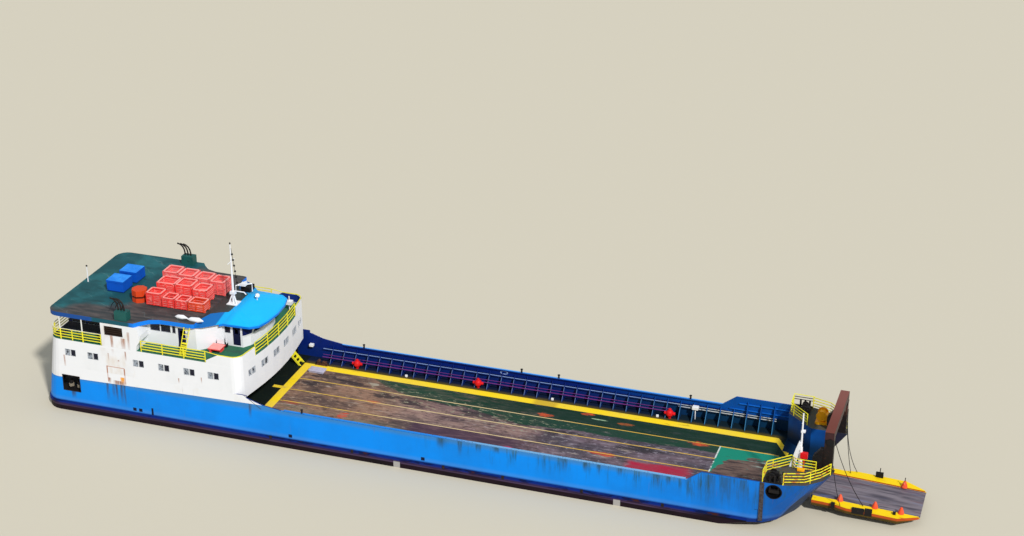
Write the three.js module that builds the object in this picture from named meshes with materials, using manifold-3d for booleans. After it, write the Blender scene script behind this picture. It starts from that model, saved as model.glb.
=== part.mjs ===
// Passenger and car ferry with a flat bottom, an open car deck and a bow ramp, as a half-size model.
// Lengths are metres of the full-size ferry and are turned into millimetres of the model at the end.
// x points to the bow and is 0 at the front of the house, y points to port, z is 0 on the car deck.

import * as THREE from 'three';
import { mergeVertices } from 'three/addons/utils/BufferGeometryUtils.js';
import Module from 'manifold-3d';

const wasm = await Module();
wasm.setup();

// Driving dimensions
const MODEL_MM = 500;
const GAP = 0.0006;
const HALF_BEAM = 6.88;
const STERN_X = -21.7;
const KEEL_Z = -3.25;
const CHINE_Z = -1.3;
const RAMP_TIP_X = 57.5;
const RUB_DEPTH = 0.08;
const MIDDLE_X = (STERN_X - RUB_DEPTH + RAMP_TIP_X) / 2;

const WALL = 0.14;
const CABIN_DECK = { low: 2.65, top: 2.85 };
const UPPER_DECK = { low: 5.15, top: 5.35 };
const ROOF = { low: 7.65, top: 8.05 };
const PLATFORM_Z = 2.65;
const RAIL_TOP = 6.4;

// Paint: colour, roughness, metalness
const PAINT = {
  hullBlue: [0x1778d8, 0.5, 0.1],
  navy: [0x123a7a, 0.55, 0.1],
  maroon: [0x3a1a1c, 0.7, 0.1],
  white: [0xe9e9e4, 0.5, 0.05],
  deckGreen: [0x1f5a4c, 0.8, 0.05],
  roofGreen: [0x2b4d4b, 0.8, 0.05],
  lightBlue: [0x22b4f5, 0.45, 0.05],
  yellow: [0xe8d820, 0.5, 0.1],
  rampYellow: [0xf2c31c, 0.55, 0.1],
  orange: [0xe08a12, 0.55, 0.1],
  red: [0xe0434a, 0.6, 0.0],
  teal: [0x1c5c5a, 0.6, 0.1],
  black: [0x1a1716, 0.6, 0.4],
  brown: [0x7a4a42, 0.7, 0.2],
  bronze: [0xa8823c, 0.35, 0.9],
  glassDark: [0x16202c, 0.3, 0.1],
};
const materials = {};
for (const [name, [color, roughness, metalness]] of Object.entries(PAINT)) {
  materials[name] = new THREE.MeshStandardMaterial({ color, roughness, metalness });
}

const ferry = new THREE.Group();
ferry.name = 'passenger_ferry';
ferry.position.set(-MIDDLE_X * MODEL_MM, 0, -KEEL_Z * MODEL_MM);

// A closed mesh from its corners and its outward faces
function meshOf(points, faces) {
  const geometry = new THREE.BufferGeometry();
  geometry.setAttribute('position', new THREE.Float32BufferAttribute(points.flat(), 3));
  geometry.setIndex(faces.flat());
  return geometry;
}

// Solids for cutting and joining
function solid(shape) {
  if (shape instanceof wasm.Manifold) return shape;
  let bare = shape.clone();
  bare.deleteAttribute('normal');
  bare.deleteAttribute('uv');
  bare = mergeVertices(bare, 1e-5);
  const vertProperties = new Float32Array(bare.attributes.position.array);
  const triVerts = new Uint32Array(bare.index.array);
  return new wasm.Manifold(new wasm.Mesh({ numProp: 3, vertProperties, triVerts }));
}

function join(...shapes) {
  return shapes.flat().map(solid).reduce((whole, next) => whole.add(next));
}

function cut(shape, ...tools) {
  return tools.flat().map(solid).reduce((whole, next) => whole.subtract(next), solid(shape));
}

function geometryOf(shape) {
  if (!(shape instanceof wasm.Manifold)) return shape.clone();
  const mesh = shape.getMesh();
  const geometry = new THREE.BufferGeometry();
  geometry.setAttribute('position', new THREE.BufferAttribute(new Float32Array(mesh.vertProperties), 3));
  geometry.setIndex(new THREE.BufferAttribute(new Uint32Array(mesh.triVerts), 1));
  return geometry;
}

// The other side of the ship: y changes sign and each face turns over
function toPort(shape) {
  const geometry = geometryOf(shape);
  geometry.scale(1, -1, 1);
  const index = geometry.index;
  for (let i = 0; i < index.count; i += 3) {
    const second = index.getX(i + 1);
    index.setX(i + 1, index.getX(i + 2));
    index.setX(i + 2, second);
  }
  return geometry;
}

function place(name, shape, paint, at = [0, 0, 0]) {
  const geometry = geometryOf(shape);
  geometry.scale(MODEL_MM, MODEL_MM, MODEL_MM);
  geometry.deleteAttribute('normal');
  geometry.computeVertexNormals();
  const mesh = new THREE.Mesh(geometry, materials[paint]);
  mesh.name = name;
  mesh.position.set(at[0] * MODEL_MM, at[1] * MODEL_MM, at[2] * MODEL_MM);
  ferry.add(mesh);
  return mesh;
}

function placeBothSides(name, starboardShape, paint) {
  place(`${name}_starboard`, starboardShape, paint);
  place(`${name}_port`, toPort(starboardShape), paint);
}

// Basic shapes
function box(x, y, z) {
  const geometry = new THREE.BoxGeometry(x[1] - x[0], y[1] - y[0], z[1] - z[0]);
  geometry.translate((x[0] + x[1]) / 2, (y[0] + y[1]) / 2, (z[0] + z[1]) / 2);
  return geometry;
}

// A round bar between two points; a second radius tapers it
function rod(from, to, radius, sides = 8, endRadius = radius) {
  const start = new THREE.Vector3(...from);
  const end = new THREE.Vector3(...to);
  const along = end.clone().sub(start);
  const geometry = new THREE.CylinderGeometry(endRadius, radius, along.length(), sides);
  geometry.applyQuaternion(
    new THREE.Quaternion().setFromUnitVectors(new THREE.Vector3(0, 1, 0), along.normalize()),
  );
  const middle = start.add(end).multiplyScalar(0.5);
  geometry.translate(middle.x, middle.y, middle.z);
  return geometry;
}

// A skin through rings of equal point counts, anticlockwise seen from above, closed at both ends
function loft(levels) {
  const count = levels[0].ring.length;
  const points = levels.flatMap(({ z, ring }) => ring.map(([x, y]) => [x, y, z]));
  const faces = [];
  for (let level = 0; level + 1 < levels.length; level += 1) {
    for (let i = 0; i < count; i += 1) {
      const a = level * count + i;
      const b = level * count + ((i + 1) % count);
      faces.push([a, b, b + count], [a, b + count, a + count]);
    }
  }
  const flat = (ring) => THREE.ShapeUtils.triangulateShape(ring.map(([x, y]) => new THREE.Vector2(x, y)), []);
  for (const [a, b, c] of flat(levels[0].ring)) faces.push([a, c, b]);
  const top = (levels.length - 1) * count;
  for (const [a, b, c] of flat(levels[levels.length - 1].ring)) faces.push([top + a, top + b, top + c]);
  return meshOf(points, faces);
}

function prism(ring, z) {
  return loft([{ z: z[0], ring }, { z: z[1], ring }]);
}

// A profile of [x, z] corners, carried across from one y to another
function crossways(profile, y) {
  const outline = new THREE.Shape(profile.map(([x, z]) => new THREE.Vector2(x, z)));
  const geometry = new THREE.ExtrudeGeometry(outline, {
    depth: y[1] - y[0],
    bevelEnabled: false,
  });
  geometry.rotateX(Math.PI / 2);
  geometry.translate(0, y[1], 0);
  return geometry;
}

// A profile of [y, z] corners, carried along from one x to another
function lengthways(profile, x) {
  const outline = new THREE.Shape(profile.map(([y, z]) => new THREE.Vector2(y, z)));
  const geometry = new THREE.ExtrudeGeometry(outline, {
    depth: x[1] - x[0],
    bevelEnabled: false,
  });
  geometry.rotateX(Math.PI / 2);
  geometry.rotateZ(Math.PI / 2);
  geometry.translate(x[0], 0, 0);
  return geometry;
}

function arc(centre, radius, fromDegrees, toDegrees, steps) {
  return Array.from({ length: steps + 1 }, (_, i) => {
    const angle = THREE.MathUtils.degToRad(fromDegrees + ((toDegrees - fromDegrees) * i) / steps);
    return [centre[0] + radius * Math.cos(angle), centre[1] + radius * Math.sin(angle)];
  });
}

// A whole ring from its starboard half, listed from the stern to the bow
function bothHalves(starboardHalf) {
  const port = starboardHalf.filter(([, y]) => Math.abs(y) > 1e-6).map(([x, y]) => [x, -y]).reverse();
  return [...starboardHalf, ...port];
}

// The stern leans forward from the chine up, and its corners grow tighter
const STERN_LOW = { z: CHINE_Z, x: STERN_X, corner: 1.7 };
const STERN_HIGH = { z: UPPER_DECK.top, x: -20.4, corner: 1.0 };
function sternHalf(z, inset = 0, halfBeam = HALF_BEAM) {
  const part = (z - STERN_LOW.z) / (STERN_HIGH.z - STERN_LOW.z);
  const x = STERN_LOW.x + (STERN_HIGH.x - STERN_LOW.x) * part;
  const corner = STERN_LOW.corner + (STERN_HIGH.corner - STERN_LOW.corner) * part;
  return arc([x + corner, -(halfBeam - corner)], corner - inset, 180, 270, 6);
}

// Hull: x and half width of the bow at the keel, the bilge, the chine and the car deck
const BOW_AT_KEEL = [
  [37.0, 6.5], [38.4, 6.3], [39.3, 5.4], [39.8, 3.9], [39.95, 3.2], [40.0, 2.6], [40.05, 0],
];
const BOW_AT_BILGE = [
  [38.4, 6.88], [39.8, 6.6], [40.7, 5.6], [41.3, 4.0], [41.5, 3.3], [41.55, 2.7], [41.6, 0],
];
const BOW_AT_CHINE = [
  [44.2, 6.88], [45.3, 6.6], [46.3, 5.85], [47.5, 3.9], [47.75, 3.3], [47.85, 2.6], [48.0, 0],
];
const BOW_AT_DECK = [
  [44.5, 6.88], [45.86, 6.7], [47.06, 6.02], [48.24, 4.33], [48.6, 3.3], [48.15, 3.1], [48.15, 0],
];
const HULL_LEVELS = [
  { z: KEEL_Z, halfBeam: 6.5, bow: BOW_AT_KEEL },
  { z: -2.85, halfBeam: HALF_BEAM, bow: BOW_AT_BILGE },
  { z: CHINE_Z, halfBeam: HALF_BEAM, bow: BOW_AT_CHINE },
  { z: 0, halfBeam: HALF_BEAM, bow: BOW_AT_DECK },
];
const RAKE = { startX: -9.5, endX: -15, topZ: -2.0 };
const SHAFT = { y: 3.2, z: -2.64, tubeRadius: 0.13, boreRadius: 0.062, endX: -16.9 };
const RUDDER = { x: -18.65, top: -2.07, low: -3.15, stockRadius: 0.08, boreRadius: 0.0814, bossRadius: 0.2 };
const VEHICLE_FIELD = { x: [0.35, 44.6], halfWidth: 5.1, top: 0.03 };
const RAMP_HINGE = { x: 48.45, z: -0.77, radius: 0.12, pinRadius: 0.05, boreRadius: 0.0525 };
const BOW_SLOPE = { fromX: 45.4, toX: 48.4, drop: 0.66, halfWidth: 3.05 };

function makeHull() {
  const body = loft(HULL_LEVELS.map(({ z, halfBeam, bow }) => ({
    z,
    ring: bothHalves([...sternHalf(Math.max(z, CHINE_Z), 0, halfBeam), ...bow.map(([x, y]) => [x, -y])]),
  })));
  const underStern = crossways([
    [RAKE.startX, KEEL_Z],
    [RAKE.startX, KEEL_Z - 1],
    [STERN_X - 1, KEEL_Z - 1],
    [STERN_X - 1, RAKE.topZ],
    [RAKE.endX, RAKE.topZ],
  ], [-8, 8]);
  const fieldY = [-VEHICLE_FIELD.halfWidth, VEHICLE_FIELD.halfWidth];
  const field = box(VEHICLE_FIELD.x, fieldY, [-0.1, VEHICLE_FIELD.top]);
  const slope = crossways([
    [BOW_SLOPE.fromX, 1], [BOW_SLOPE.fromX, 0],
    [BOW_SLOPE.toX, -BOW_SLOPE.drop], [BOW_SLOPE.toX + 1, -BOW_SLOPE.drop],
    [BOW_SLOPE.toX + 1, 1],
  ], [-BOW_SLOPE.halfWidth, BOW_SLOPE.halfWidth]);
  let hull = join(cut(body, underStern, slope), field);
  for (const side of [-1, 1]) {
    const y = side * SHAFT.y;
    hull = join(hull, rod([RUDDER.x, y, -1.9], [RUDDER.x, y, RUDDER.top + 0.03], RUDDER.bossRadius, 16));
    hull = cut(hull, rod([RUDDER.x, y, -1.75], [RUDDER.x, y, -2.2], RUDDER.boreRadius, 24));
  }
  for (const y of RAMP_KNUCKLES_ON_HULL) {
    hull = join(hull, rampKnuckle(y, 47.7));
  }
  return hull;
}

// Hinge knuckles: the hull's stand between the ramp's, round a common pin
const RAMP_KNUCKLES_ON_HULL = [-1.95, -0.65, 0.65, 1.95];
const KNUCKLE_HALF_WIDTH = 0.16;
function rampKnuckle(y, rootX) {
  const across = [y - KNUCKLE_HALF_WIDTH, y + KNUCKLE_HALF_WIDTH];
  const eye = rod([RAMP_HINGE.x, across[0], RAMP_HINGE.z], [RAMP_HINGE.x, across[1], RAMP_HINGE.z],
    RAMP_HINGE.radius, 16);
  const arm = box([Math.min(rootX, RAMP_HINGE.x), Math.max(rootX, RAMP_HINGE.x)], across,
    [RAMP_HINGE.z - 0.08, RAMP_HINGE.z + 0.08]);
  const bore = rod([RAMP_HINGE.x, across[0] - 0.1, RAMP_HINGE.z], [RAMP_HINGE.x, across[1] + 0.1, RAMP_HINGE.z],
    RAMP_HINGE.boreRadius, 16);
  return cut(join(eye, arm), bore);
}

place('hull', makeHull(), 'hullBlue');

// Rubbing strake along both sides and round the stern
function makeRubbingStrake() {
  const ends = [[44.0, -HALF_BEAM - RUB_DEPTH], [44.1, -HALF_BEAM - GAP]];
  const outer = (z) => ({ z, ring: bothHalves([...sternHalf(z, -RUB_DEPTH), ...ends]) });
  const inner = (z) => ({ z, ring: bothHalves([...sternHalf(z, -GAP), [44.2, -HALF_BEAM - GAP]]) });
  const band = loft([outer(CHINE_Z), outer(CHINE_Z + 0.3)]);
  return cut(band, loft([inner(CHINE_Z - 0.5), inner(CHINE_Z + 0.8)]), box([44.05, 46], [-8, 8], [-2, 0]));
}

place('rubbing_strake', makeRubbingStrake(), 'navy');

// Shaft tubes with their struts, clear of the raked bottom by the assembly gap
function makeShaftBracket() {
  const y = -SHAFT.y;
  const tube = rod([-11.2, y, SHAFT.z], [SHAFT.endX, y, SHAFT.z], SHAFT.tubeRadius, 12);
  const strut = crossways([[-16.85, -2.0 - GAP], [-16.75, SHAFT.z], [-16.4, SHAFT.z], [-16.1, -2.0 - GAP]].reverse(),
    [y - 0.04, y + 0.04]);
  const bottom = crossways([
    [RAKE.startX + 1.4, KEEL_Z - 0.32 - GAP],
    [RAKE.endX, RAKE.topZ - GAP],
    [RAKE.endX, RAKE.topZ + 1],
    [RAKE.startX + 1.4, RAKE.topZ + 1],
  ].reverse(), [y - 1, y + 1]);
  const bore = rod([SHAFT.endX - 0.1, y, SHAFT.z], [SHAFT.endX + 0.35, y, SHAFT.z], SHAFT.boreRadius, 16);
  return cut(join(tube, strut), bottom, bore);
}

placeBothSides('shaft_bracket', makeShaftBracket(), 'maroon');

// Propellers: hub, cap, four skewed blades and the stub that turns in the shaft tube
const PROPELLER = { radius: 0.5, blades: 4, pitchDegrees: 28, frontX: -16.94, length: 0.42 };
function makePropeller() {
  const hub = rod([PROPELLER.frontX, 0, 0], [PROPELLER.frontX - PROPELLER.length, 0, 0], 0.11, 12, 0.08);
  const stub = rod([PROPELLER.frontX - 0.02, 0, 0], [SHAFT.endX + 0.3, 0, 0], 0.06, 16);
  const outline = new THREE.Shape();
  outline.moveTo(-0.07, 0.05);
  outline.quadraticCurveTo(-0.2, 0.34, -0.02, PROPELLER.radius);
  outline.quadraticCurveTo(0.22, 0.42, 0.08, 0.05);
  const blades = [];
  for (let i = 0; i < PROPELLER.blades; i += 1) {
    const blade = new THREE.ExtrudeGeometry(outline, { depth: 0.03, bevelEnabled: false, curveSegments: 4 });
    blade.translate(0, 0, -0.015);
    blade.rotateY(THREE.MathUtils.degToRad(PROPELLER.pitchDegrees));
    blade.rotateX((i * 2 * Math.PI) / PROPELLER.blades + Math.PI / 4);
    blade.translate(PROPELLER.frontX - PROPELLER.length / 2, 0, 0);
    blades.push(blade);
  }
  return join(hub, stub, blades);
}

const propeller = makePropeller();
place('propeller_starboard', propeller, 'bronze', [0, -SHAFT.y, SHAFT.z]);
place('propeller_port', toPort(propeller), 'bronze', [0, SHAFT.y, SHAFT.z]);

// Rudders: a balanced blade with a rounded leading edge, hung on its stock
function makeRudder() {
  const section = bothHalves([[-0.85, 0], [-0.3, -0.075], [0.1, -0.11], [0.3, -0.09], [0.4, -0.04], [0.42, 0]]);
  const blade = prism(section, [RUDDER.low, RUDDER.top]);
  const stock = rod([0, 0, RUDDER.top - 0.02], [0, 0, -1.78], RUDDER.stockRadius, 24);
  return join(blade, stock);
}

place('rudder_starboard', makeRudder(), 'maroon', [RUDDER.x, -SHAFT.y, 0]);
place('rudder_port', makeRudder(), 'maroon', [RUDDER.x, SHAFT.y, 0]);

// Bulwarks: side plating above the deck with a raised forward end and a bracket every 1.2 m
const BULWARK = { aftX: -0.9, foreX: 45.0, top: 1.7, raisedTop: 2.6, bracketStep: 1.2, bracketDepth: 1.25 };
function makeBulwark() {
  const profile = [
    [BULWARK.aftX, GAP], [BULWARK.foreX - GAP, GAP], [BULWARK.foreX - GAP, BULWARK.raisedTop],
    [40.1, BULWARK.raisedTop], [38.9, BULWARK.top], [2.5, BULWARK.top], [0.6, 1.95], [BULWARK.aftX, 2.4],
  ];
  const plate = crossways(profile, [-HALF_BEAM, -HALF_BEAM + WALL]);
  const capY = [-HALF_BEAM + 0.03, -HALF_BEAM + 0.3];
  const cap = box([2.6, 38.8], capY, [BULWARK.top - 0.06, BULWARK.top + 0.02]);
  const brackets = [];
  const face = -HALF_BEAM + WALL - 0.01;
  for (let x = 1.6; x < 44.6; x += BULWARK.bracketStep) {
    const foot = face + BULWARK.bracketDepth;
    const height = x > 40.2 ? 2.3 : 1.45;
    const low = 2 * GAP;
    brackets.push(lengthways([[face, low], [foot, low], [foot, 0.1], [face + 0.16, height], [face, height]],
      [x - 0.03, x + 0.03]));
  }
  return join(plate, cap, brackets);
}

placeBothSides('bulwark', makeBulwark(), 'navy');

// Bow horns: flared blocks each side of the passage, which carry the raised platforms
const HORN_FOOT = [[45.05, 6.84], [45.86, 6.7], [47.06, 6.02], [48.24, 4.33], [48.6, 3.3], [48.4, 3.15],
  [47.35, 3.15], [45.05, 5.2]];
const HORN_TOP = [[45.05, 6.88], [47.0, 6.86], [48.6, 6.35], [49.75, 5.2], [50.35, 3.85], [50.45, 3.15],
  [47.35, 3.15], [45.05, 5.2]];
const ANCHOR = { x: 46.13, z: 1.87, pocketRadius: 0.6, faceY: -6.87, depth: 0.4 };
function makeHorn() {
  const horn = loft([
    { z: GAP, ring: HORN_FOOT.map(([x, y]) => [x, -y]) },
    { z: PLATFORM_Z, ring: HORN_TOP.map(([x, y]) => [x, -y]) },
  ]);
  const back = ANCHOR.faceY + ANCHOR.depth;
  const mouth = [ANCHOR.x, ANCHOR.faceY - 0.4, ANCHOR.z];
  const pocket = rod(mouth, [ANCHOR.x, back, ANCHOR.z], ANCHOR.pocketRadius, 20);
  const hawse = rod([ANCHOR.x, back - 0.1, ANCHOR.z], [ANCHOR.x, back + 0.5, ANCHOR.z], 0.155 + GAP, 12);
  return cut(horn, pocket, hawse);
}

placeBothSides('bow_horn', makeHorn(), 'hullBlue');

// Anchors: crown and flukes housed in the pockets, shank in the hawse hole
function makeAnchor() {
  const y = ANCHOR.faceY;
  const back = y + ANCHOR.depth;
  const shank = rod([ANCHOR.x, y + 0.12, ANCHOR.z], [ANCHOR.x, back + 0.4, ANCHOR.z], 0.155, 12);
  const crownX = [ANCHOR.x - 0.42, ANCHOR.x + 0.42];
  const crown = box(crownX, [y + 0.08, y + 0.26], [ANCHOR.z - 0.14, ANCHOR.z + 0.14]);
  const flukes = [-0.34, 0.34].map((dx) => loft([
    { z: ANCHOR.z - 0.1, ring: [[dx - 0.09, 0.1], [dx + 0.09, 0.1], [dx + 0.09, 0.24], [dx - 0.09, 0.24]] },
    { z: ANCHOR.z + 0.42, ring: [[dx - 0.03, 0.16], [dx + 0.03, 0.16], [dx + 0.03, 0.2], [dx - 0.03, 0.2]] },
  ].map(({ z, ring }) => ({ z, ring: ring.map(([x, d]) => [ANCHOR.x + x, y + d]) }))));
  return join(shank, crown, flukes);
}

placeBothSides('anchor', makeAnchor(), 'black');

// Portal over the passage that carries the ramp's hoist sheaves
const PORTAL = { x: [49.5, 50.25], legY: [3.17, 3.8], beamZ: [5.75, 6.4] };
function makePortal() {
  const parts = [box(PORTAL.x, [-PORTAL.legY[1], PORTAL.legY[1]], PORTAL.beamZ)];
  for (const side of [-1, 1]) {
    const y = [side * PORTAL.legY[0], side * PORTAL.legY[1]].sort((a, b) => a - b);
    parts.push(box(PORTAL.x, y, [PLATFORM_Z + GAP, PORTAL.beamZ[0] + 0.1]));
    const haunch = [[side * 3.3, 4.4], [side * 3.3, 5.8], [side * 2.0, 5.8]];
    parts.push(lengthways(side > 0 ? haunch : haunch.reverse(), [PORTAL.x[0] + 0.1, PORTAL.x[1] - 0.1]));
    const foot = side * 3.5;
    parts.push(box([PORTAL.x[0] - 0.25, PORTAL.x[1] - 0.02], [foot - 0.33, foot + 0.36], [PLATFORM_Z + GAP, 3.0]));
    parts.push(crossways([[PORTAL.x[0] - 0.65, PLATFORM_Z + GAP], [PORTAL.x[0] + 0.1, PLATFORM_Z + GAP],
      [PORTAL.x[0] + 0.1, 4.7], [PORTAL.x[0] - 0.3, 4.7], [PORTAL.x[0] - 0.9, 3.9], [PORTAL.x[0] - 0.9, 3.2]],
    [foot - 0.26, foot + 0.26]));
  }
  return join(parts);
}

place('ramp_portal', makePortal(), 'brown');

// Bow ramp: plated deck between two girders that taper at the tip, on four hinge eyes
const RAMP = {
  plateHalfWidth: 2.1, rootHalfWidth: 2.85, halfWidth: 3.1, tipHalfWidth: 2.2, restDegrees: -2.45,
};
const RAMP_KNUCKLES = [-1.6, -0.3, 1.0, 2.3];
function makeRamp() {
  const length = (RAMP_TIP_X - RAMP_HINGE.x) / Math.cos(THREE.MathUtils.degToRad(RAMP.restDegrees));
  const parts = [];
  const deckFrom = 0.2;
  parts.push(box([deckFrom, length], [-RAMP.plateHalfWidth - 0.1, RAMP.plateHalfWidth + 0.1], [-0.06, 0.02]));
  const taper = length - 1.75;
  for (const side of [-1, 1]) {
    const ring = (height) => {
      const corners = [[deckFrom, RAMP.rootHalfWidth], [2.1, RAMP.rootHalfWidth], [3.1, RAMP.halfWidth],
        [taper, RAMP.halfWidth], [length - 0.1, RAMP.tipHalfWidth], [length - 0.1, RAMP.plateHalfWidth],
        [deckFrom, RAMP.plateHalfWidth]].map(([x, y]) => [x, side * y]);
      return { z: height, ring: side > 0 ? corners.reverse() : corners };
    };
    parts.push(loft([ring(-0.36), ring(0.12)]));
  }
  for (const x of [2.4, 4.6, 6.8]) {
    parts.push(box([x - 0.06, x + 0.06], [-2.2, 2.2], [-0.28, 0]));
  }
  let ramp = join(parts);
  ramp = cut(ramp, crossways([[taper - 0.8, -0.5], [length + 0.2, -0.5], [length + 0.2, -0.05]], [-4, 4]));
  const eyes = [];
  for (const y of RAMP_KNUCKLES) {
    const across = [y - KNUCKLE_HALF_WIDTH, y + KNUCKLE_HALF_WIDTH];
    const eye = rod([0, across[0], 0], [0, across[1], 0], RAMP_HINGE.radius, 16);
    const arm = box([0, 0.5], across, [-0.08, 0.015]);
    eyes.push(join(eye, arm));
  }
  const pin = rod([0, -2.2, 0], [0, 2.5, 0], RAMP_HINGE.pinRadius, 16);
  return join(ramp, eyes, pin);
}

const ramp = place('bow_ramp', makeRamp(), 'rampYellow', [RAMP_HINGE.x, 0, RAMP_HINGE.z]);
ramp.rotation.y = -THREE.MathUtils.degToRad(RAMP.restDegrees);

// House rings: the plan of the house at a height, drawn in from the outer face by an inset
const HOUSE_FRONT = { x: -0.72, sag: 0.018 };
function houseRing(z, inset = 0) {
  const side = HALF_BEAM - inset;
  const sag = (y) => HOUSE_FRONT.x - inset - HOUSE_FRONT.sag * y * y;
  const corner = 0.9;
  const cornerY = side - corner;
  const cornerX = sag(cornerY) - corner * 0.93;
  const round = arc([cornerX, -cornerY], corner, 270, 345, 4);
  const across = [-4.4, -3.0, -1.5, 0].map((y) => [sag(y), y]);
  return bothHalves([...sternHalf(z, inset), ...round, ...across]);
}

// Plating from the car deck up to the cabin deck, open to the front, with mooring openings
function makeAftPlating() {
  const outer = (z) => ({ z, ring: bothHalves([...sternHalf(z), [BULWARK.aftX - GAP, -HALF_BEAM]]) });
  const inner = (z) => ({ z, ring: bothHalves([...sternHalf(z, WALL), [2, -HALF_BEAM + WALL]]) });
  const walls = cut(loft([outer(GAP), outer(CABIN_DECK.low - GAP)]), loft([inner(-1), inner(CABIN_DECK.low + 1)]));
  const openings = [
    box([-19.4, -17.65], [-8, 8], [0.17, 1.72]),
    box([-23, -20], [2.0, 3.6], [0.15, 1.3]),
    box([-23, -20], [-3.6, -2.0], [0.15, 1.3]),
  ];
  return cut(walls, openings);
}

place('aft_plating', makeAftPlating(), 'hullBlue');

// The cabin deck, with a skirt that hangs from its front edge between the sides
const SKIRT = { low: 2.05, aftX: -2.2, halfWidth: 6.7, wall: 0.12 };
function makeCabinDeck() {
  const deck = loft([CABIN_DECK.low, CABIN_DECK.top].map((z) => ({ z, ring: houseRing(z) })));
  const z = [SKIRT.low, CABIN_DECK.low + 0.05];
  const band = cut(prism(houseRing(CABIN_DECK.low), z), prism(houseRing(CABIN_DECK.low, SKIRT.wall), [1, 4]));
  const front = box([SKIRT.aftX, 1], [-SKIRT.halfWidth, SKIRT.halfWidth], [1, 4]);
  return join(deck, band.intersect(solid(front)));
}

place('cabin_deck', makeCabinDeck(), 'white');

// Cabin walls: a hollow ring with pairs of windows
const WINDOW = { pane: 0.45, mullion: 0.12, low: 3.8, top: 4.42 };
const SIDE_WINDOWS_X = [-18.3, -16.0, -11.4, -8.86, -6.35, -3.98];
const FRONT_WINDOWS_Y = [-4.95, -2.89, -0.73, 1.39, 3.59, 5.42];
const STERN_WINDOWS_Y = [-3.2, -1.1, 1.1, 3.2];
function panePair(centre) {
  const step = (WINDOW.pane + WINDOW.mullion) / 2;
  return [-step, step].map((shift) => [centre + shift - WINDOW.pane / 2, centre + shift + WINDOW.pane / 2]);
}

function makeCabinWalls() {
  const z = [CABIN_DECK.top + GAP, UPPER_DECK.low - GAP];
  const shell = loft(z.map((level) => ({ z: level, ring: houseRing(level) })));
  const space = loft([z[0] - 0.5, z[1] + 0.5].map((level) => ({ z: level, ring: houseRing(level, WALL) })));
  const height = [WINDOW.low, WINDOW.top];
  const panes = [];
  for (const x of SIDE_WINDOWS_X) {
    for (const pane of panePair(x)) panes.push(box(pane, [-8, 8], height));
  }
  for (const y of FRONT_WINDOWS_Y) {
    for (const pane of panePair(y)) panes.push(box([-2.6, 1], pane, height));
  }
  for (const y of STERN_WINDOWS_Y) {
    for (const pane of panePair(y)) panes.push(box([-23, -20.2], pane, height));
  }
  return cut(shell, space, panes);
}

place('cabin_walls', makeCabinWalls(), 'white');

place('upper_deck', loft([
  { z: UPPER_DECK.low, ring: houseRing(UPPER_DECK.low) },
  { z: UPPER_DECK.top, ring: houseRing(UPPER_DECK.top) },
]), 'deckGreen');

// Low walls round the front corners of the upper deck
const WING = { aftX: -4.6, riseX: -3.5, top: 6.2, frontY: 4.3, wall: 0.1 };
function makeWingWall() {
  const z = [UPPER_DECK.top + GAP, WING.top];
  const level = UPPER_DECK.top;
  const ring = cut(prism(houseRing(level), z), prism(houseRing(level, WING.wall), [z[0] - 1, z[1] + 1]));
  const keep = box([WING.aftX, 1], [-8, -WING.frontY], [5, 7]);
  const over = [[WING.aftX - 1, WING.top - 1.2], [WING.riseX, WING.top], [WING.riseX, 7], [WING.aftX - 1, 7]];
  const slope = crossways(over,
    [-8, -6]);
  return cut(ring.intersect(solid(keep)), slope);
}

placeBothSides('wing_wall', makeWingWall(), 'white');

// Engine casings beside the upper house, with a louvred recess and a curved forward web
const CASING = { x: [-14.95, -11.5], inner: 5.12, outer: HALF_BEAM };
function makeCasing() {
  const z = [UPPER_DECK.top + GAP, ROOF.low - GAP];
  const block = crossways([
    [CASING.x[0], z[0]], [CASING.x[1], z[0]], [-11.45, 5.8], [-11.12, 6.3], [-11.1, 6.8], [-11.3, z[1]],
    [CASING.x[0], z[1]],
  ], [-CASING.outer, -CASING.inner]);
  const recess = box([-14.6, -12.75], [-CASING.outer - 0.1, -CASING.outer + 0.2], [6.5, 7.4]);
  const slats = [];
  for (let level = 6.6; level < 7.35; level += 0.2) {
    slats.push(lengthways([
      [-CASING.outer + 0.21, level], [-CASING.outer + 0.21, level + 0.05],
      [-CASING.outer + 0.02, level - 0.02], [-CASING.outer + 0.02, level - 0.07],
    ].reverse(), [-14.61, -12.74]));
  }
  return join(cut(block, recess), slats);
}

placeBothSides('engine_casing', makeCasing(), 'white');

// Upper house: hollow walls with windows and two doorways
const DOOR = { width: 0.72, low: 5.47, top: 7.35, thick: 0.1, edge: 0.018 };
const HOUSE_DOOR_X = -7.45;
const WHEELHOUSE_DOOR_X = -3.0;
const upperHouseHalf = (inset) => [
  [-19.3 + inset, 0],
  [-19.3 + inset, -5.1 + inset],
  [-6.4, -5.1 + inset],
  [-4.7 - inset, -3.3 + inset * 0.5],
  [-4.7 - inset, 0],
];

// Hinge lugs that carry a door's pin, below and above the leaf, and the round channel the pin turns in
function hingeLugs(hingeX, faceY) {
  return [[DOOR.low - 0.09, DOOR.low - 0.005], [DOOR.top + 0.005, DOOR.top + 0.09]].map((z) =>
    box([hingeX - 0.06, hingeX + 0.05], [faceY - 0.05, faceY + 0.06], z));
}

function withDoorway(walls, hingeX, faceY) {
  const doorway = box([hingeX - DOOR.width, hingeX], [faceY - 0.3, faceY + 0.3], [DOOR.low, DOOR.top]);
  const channel = rod([hingeX, faceY, DOOR.low - 0.085], [hingeX, faceY, DOOR.top + 0.085], 0.0212, 12);
  return cut(join(cut(walls, doorway), hingeLugs(hingeX, faceY)), channel);
}

function withDoorways(walls, hingeX, faceY) {
  const starboard = withDoorway(walls, hingeX, faceY);
  return toPort(withDoorway(toPort(starboard), hingeX, faceY));
}

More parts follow.
